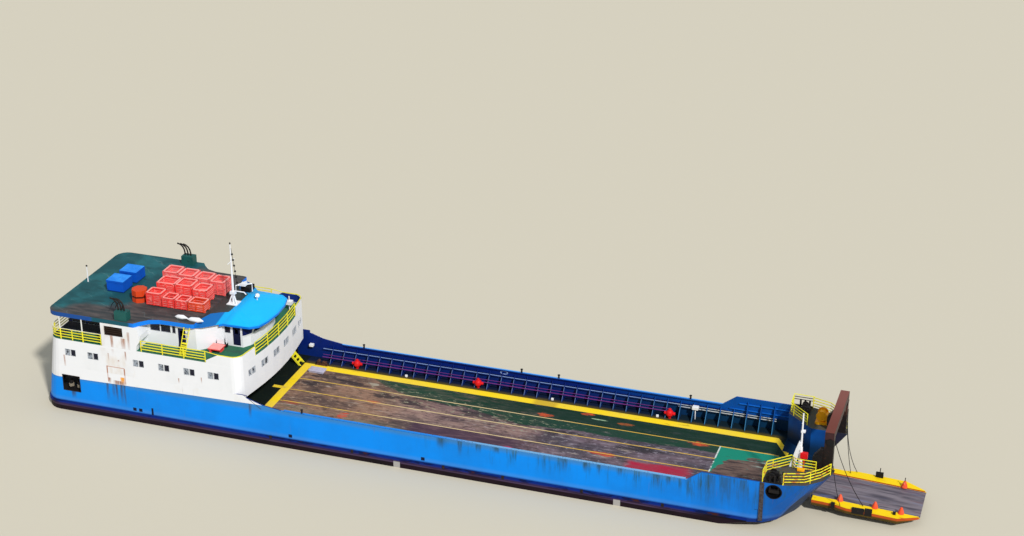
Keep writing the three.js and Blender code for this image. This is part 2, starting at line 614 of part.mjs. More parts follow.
function makeUpperHouse() {
  const z = [UPPER_DECK.top + GAP, ROOF.low - GAP];
  const walls = cut(prism(bothHalves(upperHouseHalf(0)), z),
    prism(bothHalves(upperHouseHalf(WALL)), [z[0] - 1, z[1] + 1]));
  const windows = [
    box([-10.9, -9.95], [-8, 8], [6.75, 7.45]),
    box([-9.85, -8.9], [-8, 8], [6.75, 7.45]),
    box([-8.7, -8.4], [-8, 8], [6.75, 7.45]),
    box([-18.9, -17.5], [-8, 8], [6.35, 7.45]),
    box([-17.3, -15.9], [-8, 8], [6.35, 7.45]),
    box([-19.5, -19.0], [-4.0, -2.0], [6.35, 7.45]),
    box([-19.5, -19.0], [2.0, 4.0], [6.35, 7.45]),
    box([-19.5, -19.0], [-0.45, 0.45], [5.45, 7.35]),
  ];
  return withDoorways(cut(walls, windows), HOUSE_DOOR_X, -5.1);
}

place('upper_house', makeUpperHouse(), 'white');

// Wheelhouse: hollow, with a bowed front whose windows lean forward
const WHEELHOUSE_SIDE = 3.2;
const wheelhouseHalf = (lean, inset) => [
  [-4.7 + GAP + inset, 0],
  [-4.7 + GAP + inset, -WHEELHOUSE_SIDE + inset],
  [-2.75 + lean * 0.5 - inset * 0.4, -WHEELHOUSE_SIDE + inset],
  [-2.3 + lean - inset, -2.5 + inset * 0.5],
  [-2.0 + lean - inset, -1.25],
  [-1.9 + lean - inset, 0],
];

function makeWheelhouse() {
  const levels = [
    { z: UPPER_DECK.top + GAP, lean: 0 },
    { z: 6.35, lean: 0 },
    { z: 7.45 - GAP, lean: 0.4 },
  ];
  const shell = loft(levels.map(({ z, lean }) => ({ z, ring: bothHalves(wheelhouseHalf(lean, 0)) })));
  const inner = levels.map(({ z, lean }) => ({ z, ring: bothHalves(wheelhouseHalf(lean, WALL)) }));
  inner[0].z -= 0.5;
  inner.push({ z: 8, ring: inner[2].ring });
  const windows = [
    box([-2.6, 0], [-2.2, -1.35], [6.5, 7.3]),
    box([-2.6, 0], [-1.2, -0.45], [6.5, 7.3]),
    box([-2.6, 0], [-0.35, 0.35], [6.5, 7.3]),
    box([-2.6, 0], [0.45, 1.2], [6.5, 7.3]),
    box([-2.6, 0], [1.35, 2.2], [6.5, 7.3]),
    box([-4.5, -3.95], [-4, 4], [6.6, 7.2]),
  ];
  return withDoorways(cut(shell, loft(inner), windows), WHEELHOUSE_DOOR_X, -WHEELHOUSE_SIDE);
}

place('wheelhouse', makeWheelhouse(), 'white');

// Doors: a leaf in its doorway, turning on a pin at the jamb's outer corner
function makeDoor() {
  const leafX = [-DOOR.width + DOOR.edge, -DOOR.edge * 0.6];
  const leaf = box(leafX, [0.004, DOOR.thick], [DOOR.low + 0.015, DOOR.top - 0.015]);
  const window = box([-0.55, -0.2], [-0.1, 0.2], [6.55, 7.1]);
  const pin = rod([0, 0, DOOR.low - 0.08], [0, 0, DOOR.top + 0.08], 0.0195, 12);
  return join(cut(leaf, window), pin);
}

const DOORS = [
  { name: 'house_door', x: HOUSE_DOOR_X, y: 5.1 },
  { name: 'wheelhouse_door', x: WHEELHOUSE_DOOR_X, y: WHEELHOUSE_SIDE },
];
for (const { name, x, y } of DOORS) {
  place(`${name}_starboard`, makeDoor(), 'glassDark', [x, -y, 0]);
  place(`${name}_port`, toPort(makeDoor()), 'glassDark', [x, y, 0]);
}

// Roof over the upper deck, drawn in amidships, with a deep fascia
const roofHalf = [
  [-20.45, 0],
  ...arc([-19.35, -5.78], 1.1, 180, 270, 4),
  [-11.6, -6.88], [-11.2, -6.35], [-10.6, -5.75], [-9.7, -5.45], [-8.1, -5.4], [-6.7, -5.4], [-6.4, -5.3],
  [-6.4, 0],
];
place('roof', prism(bothHalves(roofHalf), [ROOF.low, ROOF.top]), 'roofGreen');

// Wheelhouse top: a visor that slopes down forward and to each side of a flat crown
const VISOR_EDGE = [[-6.4, 5.25], [-5.8, 4.95], [-4.95, 4.15], [-4.45, 3.65], [-1.9, 3.55], [-1.2, 3.0],
  [-0.85, 1.8], [-0.7, 0]];
const VISOR_CROWN = [[-6.4, 4.3], [-6.0, 2.75], [-5.2, 2.2], [-4.65, 1.95], [-4.4, 1.5], [-4.25, 1.0],
  [-4.12, 0.5], [-4.1, 0]];
function makeVisor() {
  const aft = -6.4 + GAP;
  const ring = (half) => bothHalves([[aft, 0], ...half.map(([x, y]) => [Math.max(x, aft), -y])]);
  const levels = [
    { z: 7.45, ring: ring(VISOR_EDGE) },
    { z: ROOF.low, ring: ring(VISOR_EDGE) },
    { z: ROOF.top, ring: ring(VISOR_CROWN) },
  ];
  return cut(loft(levels), box([-7, -4.7 + GAP], [-8, 8], [7, ROOF.low]));
}

place('wheelhouse_visor', makeVisor(), 'lightBlue');

// Railings: bars along a path on the deck's edge, on posts
function bar(path, z, width = 0.06, height = 0.06) {
  const points = [];
  path.forEach(([x, y], i) => {
    const before = path[Math.max(i - 1, 0)];
    const after = path[Math.min(i + 1, path.length - 1)];
    const along = new THREE.Vector2(after[0] - before[0], after[1] - before[1]).normalize();
    const side = [-along.y * width * 0.5, along.x * width * 0.5];
    for (const [across, up] of [[-1, -1], [1, -1], [1, 1], [-1, 1]]) {
      points.push([x + across * side[0], y + across * side[1], z + up * height * 0.5]);
    }
  });
  const faces = [[0, 2, 1], [0, 3, 2]];
  for (let i = 0; i + 1 < path.length; i += 1) {
    for (let k = 0; k < 4; k += 1) {
      const a = i * 4 + k;
      const b = i * 4 + ((k + 1) % 4);
      faces.push([a, b, b + 4], [a, b + 4, a + 4]);
    }
  }
  const end = (path.length - 1) * 4;
  faces.push([end, end + 1, end + 2], [end, end + 2, end + 3]);
  return meshOf(points, faces);
}

function pointsAlong(path, spacing) {
  const lengths = path.slice(1).map(([x, y], i) => Math.hypot(x - path[i][0], y - path[i][1]));
  const total = lengths.reduce((sum, length) => sum + length, 0);
  const count = Math.max(1, Math.round(total / spacing));
  return Array.from({ length: count + 1 }, (_, n) => {
    let distance = (total * n) / count;
    let i = 0;
    while (i + 1 < lengths.length && distance > lengths[i]) {
      distance -= lengths[i];
      i += 1;
    }
    const part = Math.min(distance / lengths[i], 1);
    return [path[i][0] + (path[i + 1][0] - path[i][0]) * part, path[i][1] + (path[i + 1][1] - path[i][1]) * part];
  });
}

function railing(path, low, heights, spacing = 1.9) {
  const top = Math.max(...heights);
  const posts = pointsAlong(path, spacing).map(([x, y]) =>
    box([x - 0.035, x + 0.035], [y - 0.035, y + 0.035], [low + GAP, top + 0.01]));
  return join(heights.map((z) => bar(path, z)), posts);
}

const BARS_ABOVE_DECK = [0.25, 0.51, 0.78, 1.05];
const barsFrom = (deck) => BARS_ABOVE_DECK.map((height) => deck + height);
const upperRing = (inset) => houseRing(UPPER_DECK.top, inset);

function makeSideRail() {
  const edge = -HALF_BEAM + 0.07;
  const side = railing([[-11.03, edge], [WING.aftX - 0.08, edge]], UPPER_DECK.top, barsFrom(UPPER_DECK.top));
  const roundCorner = upperRing(0.05).filter(([x, y]) => x > -4 && y < -WING.frontY - 0.05);
  const cap = bar([[WING.riseX, edge], ...roundCorner], WING.top + GAP + 0.03);
  const wallTop = [WING.riseX + 0.02, edge, WING.top + GAP + 0.035];
  const link = rod([WING.aftX - 0.08, edge, RAIL_TOP], wallTop, 0.033, 6);
  return join(side, cap, link);
}

placeBothSides('side_rail', makeSideRail(), 'yellow');

function makeFrontRail() {
  const path = upperRing(0.05).filter(([x, y]) => x > -2 && Math.abs(y) < WING.frontY - 0.05);
  const edgeY = WING.frontY - 0.1;
  const edgeX = HOUSE_FRONT.x - 0.05 - HOUSE_FRONT.sag * edgeY * edgeY;
  const heights = [0.3, 0.62, 0.94, 1.26].map((height) => UPPER_DECK.top + height);
  return railing([[edgeX, -edgeY], ...path, [edgeX, edgeY]], UPPER_DECK.top, heights, 2.1);
}

place('front_rail', makeFrontRail(), 'yellow');

// The aft railing also holds the posts that carry the roof's overhang
const ROOF_POSTS_X = [-19.15, -16.9];
function makeAftRail() {
  const edge = HALF_BEAM - 0.07;
  const half = [...sternHalf(UPPER_DECK.top, 0.07), [CASING.x[0] - 0.1, -edge]].reverse();
  const path = [...half, ...half.map(([x, y]) => [x, -y]).reverse()];
  const posts = ROOF_POSTS_X.flatMap((x) => [-edge, edge].map((y) =>
    rod([x, y, UPPER_DECK.top + GAP], [x, y, ROOF.low - GAP], 0.06, 6)));
  return join(railing(path, UPPER_DECK.top, barsFrom(UPPER_DECK.top), 3.0), posts);
}

place('aft_rail', makeAftRail(), 'yellow');

// Platform railings on the horns, with a roller fairlead between them above the anchor
function makePlatformRail(innerEnd) {
  const bars = barsFrom(PLATFORM_Z);
  const sill = box([45.13, 46.87], [-6.86, -6.73], [PLATFORM_Z + GAP, PLATFORM_Z + 0.12]);
  const rollers = [45.75, 46.15, 46.55].map((x) => rod([x, -6.8, PLATFORM_Z + 0.1], [x, -6.8, 3.3], 0.09, 8));
  const aft = [...innerEnd, [46.9, -3.62], [45.2, -5.25], [45.15, -6.75]];
  const fore = [[46.85, -6.76], [48.45, -6.25], [49.55, -5.15], [50.2, -4.05]];
  return join(railing(aft, PLATFORM_Z, bars, 2.4), railing(fore, PLATFORM_Z, bars, 2.2), sill, rollers);
}

place('platform_rail_starboard', makePlatformRail([[49.0, -4.12], [47.3, -4.12]]), 'yellow');
place('platform_rail_port', toPort(makePlatformRail([])), 'yellow');

// Windlasses above the anchors, the starboard one at the platform's edge
function makeWindlass() {
  const bed = box([45.75, 46.75], [-6.55, -5.35], [PLATFORM_Z + GAP, 2.8]);
  const drum = rod([46.25, -6.5, 3.1], [46.25, -5.4, 3.1], 0.16, 12);
  const wheel = (y) => rod([46.25, y - 0.06, 3.1], [46.25, y + 0.06, 3.1], 0.29, 14);
  const wheels = [-6.4, -6.0, -5.55].map(wheel);
  const motor = box([46.35, 46.72], [-6.0, -5.6], [2.79, 3.25]);
  const cheek = box([46.1, 46.4], [-6.25, -6.15], [2.79, 3.2]);
  return join(bed, drum, wheels, motor, cheek);
}

place('windlass_starboard', makeWindlass(), 'black', [-0.4, -0.15, 0]);
place('windlass_port', toPort(makeWindlass()), 'black');

// Winch that hoists the ramp, on the port platform
function makeRampWinch() {
  const bed = box([47.5, 49.2], [4.0, 5.2], [PLATFORM_Z + GAP, 2.85]);
  const drum = rod([48.0, 4.1, 3.4], [48.0, 5.1, 3.4], 0.3, 16);
  const flanges = [4.15, 5.02].map((y) => rod([48.0, y - 0.04, 3.4], [48.0, y + 0.04, 3.4], 0.46, 18));
  const gearbox = box([48.35, 49.1], [4.1, 4.7], [2.84, 3.6]);
  const stand = box([47.75, 48.4], [4.45, 4.75], [2.84, 3.4]);
  return join(bed, drum, flanges, gearbox, stand);
}

place('ramp_winch', makeRampWinch(), 'orange');

// Masts
function makeMainMast() {
  const foot = ROOF.top + GAP;
  const pole = rod([0, 0, foot], [0, 0, 13.95], 0.13, 12, 0.05);
  const legs = [90, 210, 330].map((degrees) => {
    const angle = THREE.MathUtils.degToRad(degrees);
    return rod([0.45 * Math.cos(angle), 0.45 * Math.sin(angle), foot + 0.03], [0, 0, foot + 1.1], 0.06, 8);
  });
  const plate = box([-0.5, 0.5], [-0.5, 0.5], [foot, foot + 0.06]);
  return join(pole, legs, plate);
}

place('main_mast', makeMainMast(), 'white', [-5.0, -0.2, 0]);

function makeBowMast() {
  const low = rod([0, 0, PLATFORM_Z + GAP], [0, 0, 4.5], 0.2, 10, 0.13);
  const high = rod([0, 0, 4.4], [0, 0, 7.65], 0.09, 10, 0.06);
  const plate = rod([0, 0, PLATFORM_Z + GAP], [0, 0, PLATFORM_Z + 0.08], 0.26, 12);
  const strut = rod([-0.45, 0, PLATFORM_Z + 0.04], [0, 0, 4.7], 0.05, 8);
  const strutFoot = box([-0.53, -0.37], [-0.08, 0.08], [PLATFORM_Z + GAP, PLATFORM_Z + 0.06]);
  return join(low, high, plate, strut, strutFoot);
}

place('bow_mast', makeBowMast(), 'white', [47.6, -3.52, 0]);

place('stern_light_mast', rod([-19.9, -0.3, ROOF.top + GAP], [-19.9, -0.3, 9.6], 0.06, 8, 0.04), 'white');

// Roof lockers with hinged lids
const LOCKER = { width: 1.7, depth: 1.65, height: 0.9, lid: 0.2, pinRadius: 0.03 };
function makeLocker() {
  const foot = ROOF.top + GAP;
  const top = foot + LOCKER.height;
  const body = cut(box([0, LOCKER.width], [0, LOCKER.depth], [foot, top]),
    box([0.08, LOCKER.width - 0.08], [0.08, LOCKER.depth - 0.08], [foot + 0.08, top + 1]));
  const lugs = [0.3, LOCKER.width - 0.3].map((x) => cut(
    box([x - 0.06, x + 0.06], [LOCKER.depth - 0.01, LOCKER.depth + 0.16], [top - 0.2, top + 0.06]),
    rod([x - 0.2, LOCKER.depth + 0.09, top], [x + 0.2, LOCKER.depth + 0.09, top], 0.0318, 16)));
  return join(body, lugs);
}

function makeLockerLid() {
  const top = ROOF.top + GAP + LOCKER.height;
  const lid = box([-0.03, LOCKER.width + 0.03], [-LOCKER.depth - 0.12, -0.135], [0.012, LOCKER.lid]);
  const pin = rod([0.1, 0, 0], [LOCKER.width - 0.1, 0, 0], LOCKER.pinRadius, 16);
  const arms = [0.55, LOCKER.width - 0.55].map((x) =>
    box([x - 0.07, x + 0.07], [-0.2, 0.02], [0.012, 0.06]));
  const shape = geometryOf(join(lid, pin, arms));
  shape.translate(0, LOCKER.depth + 0.09, top);
  return shape;
}

const LOCKERS = [
  { side: 'starboard', x: -17.2, y: -1.5 },
  { side: 'port', x: -17.1, y: 0.75 },
];
for (const { side, x, y } of LOCKERS) {
  place(`locker_${side}`, makeLocker(), 'hullBlue', [x, y, 0]);
  place(`locker_lid_${side}`, makeLockerLid(), 'hullBlue', [x, y, 0]);
}

// Life floats: rows of stacked open frames on skids
function floatStack([x0, x1], [y0, y1], top) {
  const foot = ROOF.top + 0.1;
  const rim = 0.24;
  const room = box([x0 + rim, x1 - rim], [y0 + rim, y1 - rim], [foot + 0.5, 12]);
  return cut(box([x0, x1], [y0, y1], [foot, top]), room);
}

// Each row: its y range, then for each stack its x range and its top above the roof
const FLOAT_ROWS = [
  { name: 'life_floats_starboard', y: [-3.1, -1.8], stacks: [[-12.3, -10.8, 1.3], [-10.7, -9.5, 1.0],
    [-9.4, -8.2, 0.95], [-8.1, -6.5, 0.95]] },
  { name: 'life_floats_middle', y: [-1.4, 0.2], stacks: [[-12.1, -10.3, 1.6], [-10.2, -8.6, 1.65], [-8.5, -7.1, 1.4]] },
  { name: 'life_floats_port', y: [0.7, 2.3], stacks: [[-12.6, -11.1, 1.7], [-11.0, -9.5, 1.6], [-9.4, -7.9, 1.5],
    [-7.8, -6.4, 1.4]] },
];
for (const { name, y, stacks } of FLOAT_ROWS) {
  const skids = [y[0] + 0.25, y[1] - 0.25].map((middle) =>
    box([stacks[0][0], stacks[stacks.length - 1][1]], [middle - 0.08, middle + 0.08],
      [ROOF.top + GAP, ROOF.top + 0.11]));
  const rows = stacks.map(([x0, x1, height]) => floatStack([x0, x1], y, ROOF.top + height));
  place(name, join(rows, skids), 'red');
}

// Eight-sided life raft in two tiers
function makeRaft() {
  const foot = ROOF.top + GAP;
  const tier = (low, high, radius) => rod([0, 0, low], [0, 0, high], radius, 8);
  const waist = tier(foot + 0.4, foot + 0.62, 0.5);
  return join(tier(foot, foot + 0.5, 0.72), waist, tier(foot + 0.6, foot + 1.15, 0.72));
}

place('octagonal_raft', makeRaft(), 'orange', [-13.35, -2.3, 0]);

// Exhaust boxes at the roof edge with curved pipes
function makeExhaust() {
  const foot = ROOF.top + GAP;
  const housing = box([-13.5, -12.3], [-6.75, -5.95], [foot, foot + 0.85]);
  const pipes = [-13.25, -12.95, -12.65].map((x) => {
    const path = new THREE.QuadraticBezierCurve3(
      new THREE.Vector3(x, -6.35, foot + 0.8),
      new THREE.Vector3(x, -6.35, foot + 1.9),
      new THREE.Vector3(x - 0.75, -6.35, foot + 1.95),
    );
    const section = new THREE.Shape(arc([0, 0], 0.07, 0, 315, 7).map(([a, b]) => new THREE.Vector2(a, b)));
    return new THREE.ExtrudeGeometry(section, { steps: 5, extrudePath: path, bevelEnabled: false });
  });
  return join(housing, pipes);
}

placeBothSides('exhaust', makeExhaust(), 'teal');

// Stairs from the car deck up to the cabin deck, and the ladder to the roof
function makeStairs() {
  const start = -0.9;
  const end = -3.3;
  const rise = CABIN_DECK.low - GAP - 0.02;
  const y = [4.5, 5.35];
  const stringer = (side) => crossways([[start, GAP], [start - 0.25, GAP], [end, rise - 0.28], [end, rise]].reverse(),
    side);
  const parts = [stringer([y[0], y[0] + 0.08]), stringer([y[1] - 0.08, y[1]])];
  const steps = 9;
  for (let i = 1; i < steps; i += 1) {
    const part = i / steps;
    const x = start + (end - start) * part;
    parts.push(box([x - 0.22, x - 0.02], [y[0] + 0.02, y[1] - 0.02], [rise * part - 0.1, rise * part - 0.05]));
  }
  return join(parts);
}

place('deck_stairs', makeStairs(), 'yellow');

function makeRoofLadder() {
  const foot = [-7.2, -6.35, UPPER_DECK.top + GAP];
  const head = [-7.0, -5.52, 7.75];
  const sides = [-0.28, 0.28];
  const stringers = sides.map((dx) =>
    rod([foot[0] + dx, foot[1], foot[2] + 0.02], [head[0] + dx, head[1], head[2]], 0.035, 6));
  const rungs = [0.15, 0.3, 0.45, 0.6, 0.75, 0.9].map((part) => {
    const [x, y, z] = foot.map((value, i) => value + (head[i] - value) * part);
    return box([x - 0.28, x + 0.28], [y - 0.03, y + 0.03], [z - 0.025, z + 0.025]);
  });
  const feet = sides.map((dx) =>
    box([foot[0] + dx - 0.05, foot[0] + dx + 0.05], [foot[1] - 0.08, foot[1] + 0.08], [foot[2], foot[2] + 0.05]));
  return join(stringers, rungs, feet);
}

place('roof_ladder', makeRoofLadder(), 'yellow');

// Bench and box on the upper deck
function makeBench() {
  const foot = UPPER_DECK.top + GAP;
  const legs = [[-5.1, -4.8], [-4.3, -4.4]].map(([x, y]) =>
    box([x - 0.08, x + 0.08], [y - 0.3, y + 0.3], [foot, foot + 0.36]));
  const seat = box([-5.3, -4.1], [-5.15, -4.0], [foot + 0.35, foot + 0.45]);
  return join(legs, seat);
}

place('deck_bench', makeBench(), 'red');

export default ferry;
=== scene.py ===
# %% [markdown]
# This lesson dresses a half-size model of a passenger and car ferry. Its solids come from a CAD program,
# and Blender adds the paint, the weathering and the small fittings. Every place below is written in
# metres of the full-size ship, with x to the bow from the front of the house, y to port and z up from the
# car deck. One function turns such a place into the frame that the solids use.

# %% Frame and measures
import math

import bmesh
import bpy
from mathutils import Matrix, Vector


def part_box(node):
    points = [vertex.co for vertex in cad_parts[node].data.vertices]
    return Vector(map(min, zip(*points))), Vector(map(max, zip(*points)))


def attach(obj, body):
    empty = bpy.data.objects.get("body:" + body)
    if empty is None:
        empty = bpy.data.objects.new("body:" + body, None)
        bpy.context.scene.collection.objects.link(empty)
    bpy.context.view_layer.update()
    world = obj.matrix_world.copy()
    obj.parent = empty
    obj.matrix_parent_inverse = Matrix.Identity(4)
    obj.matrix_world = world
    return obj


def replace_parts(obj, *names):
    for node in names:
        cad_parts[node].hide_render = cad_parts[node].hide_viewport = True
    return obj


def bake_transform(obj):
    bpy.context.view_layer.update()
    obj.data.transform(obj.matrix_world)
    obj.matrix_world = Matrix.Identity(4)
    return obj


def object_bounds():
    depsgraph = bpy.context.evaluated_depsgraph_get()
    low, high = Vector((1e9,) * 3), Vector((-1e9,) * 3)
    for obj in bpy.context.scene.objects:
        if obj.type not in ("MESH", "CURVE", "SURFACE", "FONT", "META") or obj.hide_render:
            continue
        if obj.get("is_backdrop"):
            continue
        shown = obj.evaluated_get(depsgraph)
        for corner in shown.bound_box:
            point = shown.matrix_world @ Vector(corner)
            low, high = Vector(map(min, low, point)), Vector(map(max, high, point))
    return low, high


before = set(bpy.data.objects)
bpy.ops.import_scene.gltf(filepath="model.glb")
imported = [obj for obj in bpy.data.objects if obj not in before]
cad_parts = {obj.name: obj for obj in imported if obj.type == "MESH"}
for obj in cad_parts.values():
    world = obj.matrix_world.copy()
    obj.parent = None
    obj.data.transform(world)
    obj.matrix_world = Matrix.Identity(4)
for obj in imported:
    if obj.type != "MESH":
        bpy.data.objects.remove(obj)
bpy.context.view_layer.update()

SCALE = 0.5
STERN_X = -21.7
KEEL_Z = -3.25
HALF_BEAM = 6.88
WATERLINE_Z = -1.95
hull_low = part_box("hull")[0]
SHIFT = Vector((hull_low.x - STERN_X * SCALE, 0.0, hull_low.z - KEEL_Z * SCALE))


def row(x, y, z):
    """A full-size place in the frame of the model."""
    return SHIFT + Vector((x, y, z)) * SCALE


def full(node):
    """A solid's lowest and highest corner, in full-size metres."""
    low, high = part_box(node)
    return (low - SHIFT) / SCALE, (high - SHIFT) / SCALE


print("hull, full size:", [round(v, 2) for corner in full("hull") for v in corner])

# %% [markdown]
# The camera comes first, because the rest is judged through it. It looks down on the starboard side from
# a high place a little forward of the house, through a long lens, so that the deck's edges stay nearly
# parallel.

# %% Camera
CAMERA_AT = (67.11, -136.22, 80.72)
CAMERA_LOOKS = (-0.2889, 0.8630, -0.4145)
LENS_MM = 65.32
SENSOR_MM = 36.0
FAR = 500.0

camera_data = bpy.data.cameras.new("camera")
camera_data.lens = LENS_MM
camera_data.sensor_width = SENSOR_MM
camera_data.clip_end = FAR
camera = bpy.data.objects.new("camera", camera_data)
camera.location = row(*CAMERA_AT)
camera.rotation_euler = Vector(CAMERA_LOOKS).to_track_quat("-Z", "Y").to_euler()
bpy.context.scene.collection.objects.link(camera)
bpy.context.scene.camera = camera
print("camera:", [round(v, 2) for v in camera.location], "lens", LENS_MM, "mm")

# %% [markdown]
# The ship is lit as on a bright day in a studio: one wide sun from ahead and to starboard, and a pale sky
# that fills the shadows. The floor is a plain pale sheet at the waterline, so the hull below it stays
# hidden here.

# %% Light
SUN_FROM = Vector((0.52, -0.55, 0.65))
SUN_WIDTH = math.radians(4.0)
SKY = (0.86, 0.93, 1.0, 1.0)

sun = bpy.data.lights.new("sun", "SUN")
sun.energy = 3.5
sun.angle = SUN_WIDTH
sun.color = (1.0, 0.985, 0.965)
sun_object = bpy.data.objects.new("sun", sun)
sun_object.rotation_euler = SUN_FROM.to_track_quat("Z", "Y").to_euler()
bpy.context.scene.collection.objects.link(sun_object)

world = bpy.data.worlds.new("sky")
world.use_nodes = True
background = world.node_tree.nodes["Background"]
background.inputs["Color"].default_value = SKY
background.inputs["Strength"].default_value = 0.5
bpy.context.scene.world = world
bpy.context.scene.view_settings.view_transform = "Standard"
print("sun energy", sun.energy)

# %% [markdown]
# Paint is built from shader nodes. To keep the sums readable, a small class wraps one socket and lets
# Python's own operators add the Math nodes, and one method adds any other node from its type, settings
# and sockets.

# %% Shader sums


def colour(code):
    """A colour from its six hex digits, as the linear values that shaders use."""
    parts = [int(code[i : i + 2], 16) / 255 for i in (0, 2, 4)]
    linear = [p / 12.92 if p <= 0.04045 else ((p + 0.055) / 1.055) ** 2.4 for p in parts]
    return (*linear, 1.0)


class Shade:
    """One socket of a finish. Sums and comparisons of shades are shades."""

    def __init__(self, finish, socket):
        self.finish = finish
        self.socket = socket

    def maths(self, operation, first, second=0.0):
        return self.finish.node("ShaderNodeMath", {"operation": operation}, {0: first, 1: second})

    def __add__(self, other):
        return self.maths("ADD", self, other)

    def __radd__(self, other):
        return self.maths("ADD", other, self)

    def __sub__(self, other):
        return self.maths("SUBTRACT", self, other)

    def __rsub__(self, other):
        return self.maths("SUBTRACT", other, self)

    def __mul__(self, other):
        return self.maths("MULTIPLY", self, other)

    def __rmul__(self, other):
        return self.maths("MULTIPLY", other, self)

    def __gt__(self, other):
        return self.maths("GREATER_THAN", self, other)

    def __lt__(self, other):
        return self.maths("LESS_THAN", self, other)

    def __abs__(self):
        return self.maths("ABSOLUTE", self)

    def either(self, *others):
        """The largest of these masks."""
        largest = self
        for other in others:
            largest = self.maths("MAXIMUM", largest, other)
        return largest

    def rise(self, low, high, form="SMOOTHSTEP"):
        """0 below low, 1 above high, and a soft step between them."""
        sockets = {"Value": self, "From Min": low, "From Max": high}
        return self.finish.node("ShaderNodeMapRange", {"interpolation_type": form}, sockets)

    def fall(self, low, high):
        """1 below low, 0 above high."""
        return 1 - self.rise(low, high)

    def within(self, low, high, edge=0.02):
        """1 between low and high, with edges of that softness."""
        return self.rise(low - edge, low + edge) * self.fall(high - edge, high + edge)

    def near(self, place, half, edge=0.02):
        """1 within half of a place."""
        return abs(self - place).fall(half - edge, half + edge)

    def through(self, *corners):
        """The height of a bent line through corners [place, height], over this shade."""
        height = corners[0][1]
        for (a, low), (b, high) in zip(corners, corners[1:]):
            height = self.rise(a, b, "LINEAR") * (high - low) + height
        return height


def any_of(masks):
    """The largest of a list of masks."""
    return masks[0].either(*masks[1:])


class Finish:
    """A material, with the place on the full-size ship as its x, y and z."""

    def __init__(self, name, roughness=0.5, metallic=0.0, shine=0.2):
        self.material = bpy.data.materials.new(name)
        self.material.use_nodes = True
        self.tree = self.material.node_tree
        self.shader = self.tree.nodes["Principled BSDF"]
        self.shader.inputs["Roughness"].default_value = roughness
        self.shader.inputs["Metallic"].default_value = metallic
        self.shader.inputs["Specular IOR Level"].default_value = shine
        local = self.node("ShaderNodeTexCoord", out="Object")
        settings = {"operation": "MULTIPLY_ADD"}
        sockets = {0: local, 1: [1 / SCALE] * 3, 2: list(-SHIFT / SCALE)}
        self.point = self.node("ShaderNodeVectorMath", settings, sockets)
        self.x, self.y, self.z = self.split(self.point)

    def node(self, kind, settings=None, sockets=None, out=0):
        """Adds a node: its settings first, then the values or links of its sockets."""
        made = self.tree.nodes.new(kind)
        for key, value in (settings or {}).items():
            setattr(made, key, value)
        for key, value in (sockets or {}).items():
            if isinstance(value, Shade):
                self.tree.links.new(value.socket, made.inputs[key])
            else:
                made.inputs[key].default_value = value
        return Shade(self, made.outputs[out])

    def split(self, vector):
        """The x, y and z of a vector."""
        first = self.node("ShaderNodeSeparateXYZ", {}, {0: vector})
        return [Shade(self, socket) for socket in first.socket.node.outputs]

    def noise(self, size, detail=3.0, stretch=(1, 1, 1), seed=0.0, rough=0.55):
        """Noise whose blotches are about size metres, drawn out by stretch."""
        drawn = self.node("ShaderNodeVectorMath", {"operation": "MULTIPLY"},
                          {0: self.point, 1: [1 / (size * s) for s in stretch]})
        sockets = {"Vector": drawn, "W": seed, "Scale": 1.0, "Detail": detail, "Roughness": rough}
        return self.node("ShaderNodeTexNoise", {"noise_dimensions": "4D"}, sockets)

    def mix(self, factor, first, second):
        """Goes from the first colour to the second as the factor goes from 0 to 1."""
        codes = [colour(c) if isinstance(c, str) else c for c in (first, second)]
        settings = {"data_type": "RGBA", "clamp_factor": True}
        return self.node("ShaderNodeMix", settings, {0: factor, 6: codes[0], 7: codes[1]}, 2)

    def layers(self, base, *coats):
        """Lays coats, each a mask and a colour, over a base."""
        for mask, paint in coats:
            base = self.mix(mask, base, paint)
        return base

    def set(self, name, value):
        """Gives a socket of the shader a value or a link."""
        if isinstance(value, Shade):
            self.tree.links.new(value.socket, self.shader.inputs[name])
        else:
            self.shader.inputs[name].default_value = value
        return self

    def bump(self, height, distance, strength):
        """Lifts the surface where the height is high."""
        sockets = {"Height": height, "Distance": distance, "Strength": strength}
        return self.set("Normal", self.node("ShaderNodeBump", {}, sockets))

    def faces(self):
        """The direction that a face looks in at rest, as x, y and z."""
        return self.split(self.node("ShaderNodeTexCoord", out="Normal"))

    def facing_up(self):
        """1 on level faces that look up."""
        return self.faces()[2].rise(0.6, 0.8)


print("mid grey as shaders see it:", round(colour("808080")[0], 3))

# %% [markdown]
# Most fittings are gathered from plain closed shapes: boxes, tubes along a path, and prisms. Gathering
# many of them in one mesh keeps the list of pieces short, and a bevel takes the hardness off their edges.

# %% Shapes
BALL_RINGS = 7
BALL_SIDES = 10


def angles(count):
    """Evenly spaced angles of a full turn."""
    return [2 * math.pi * k / count for k in range(count)]


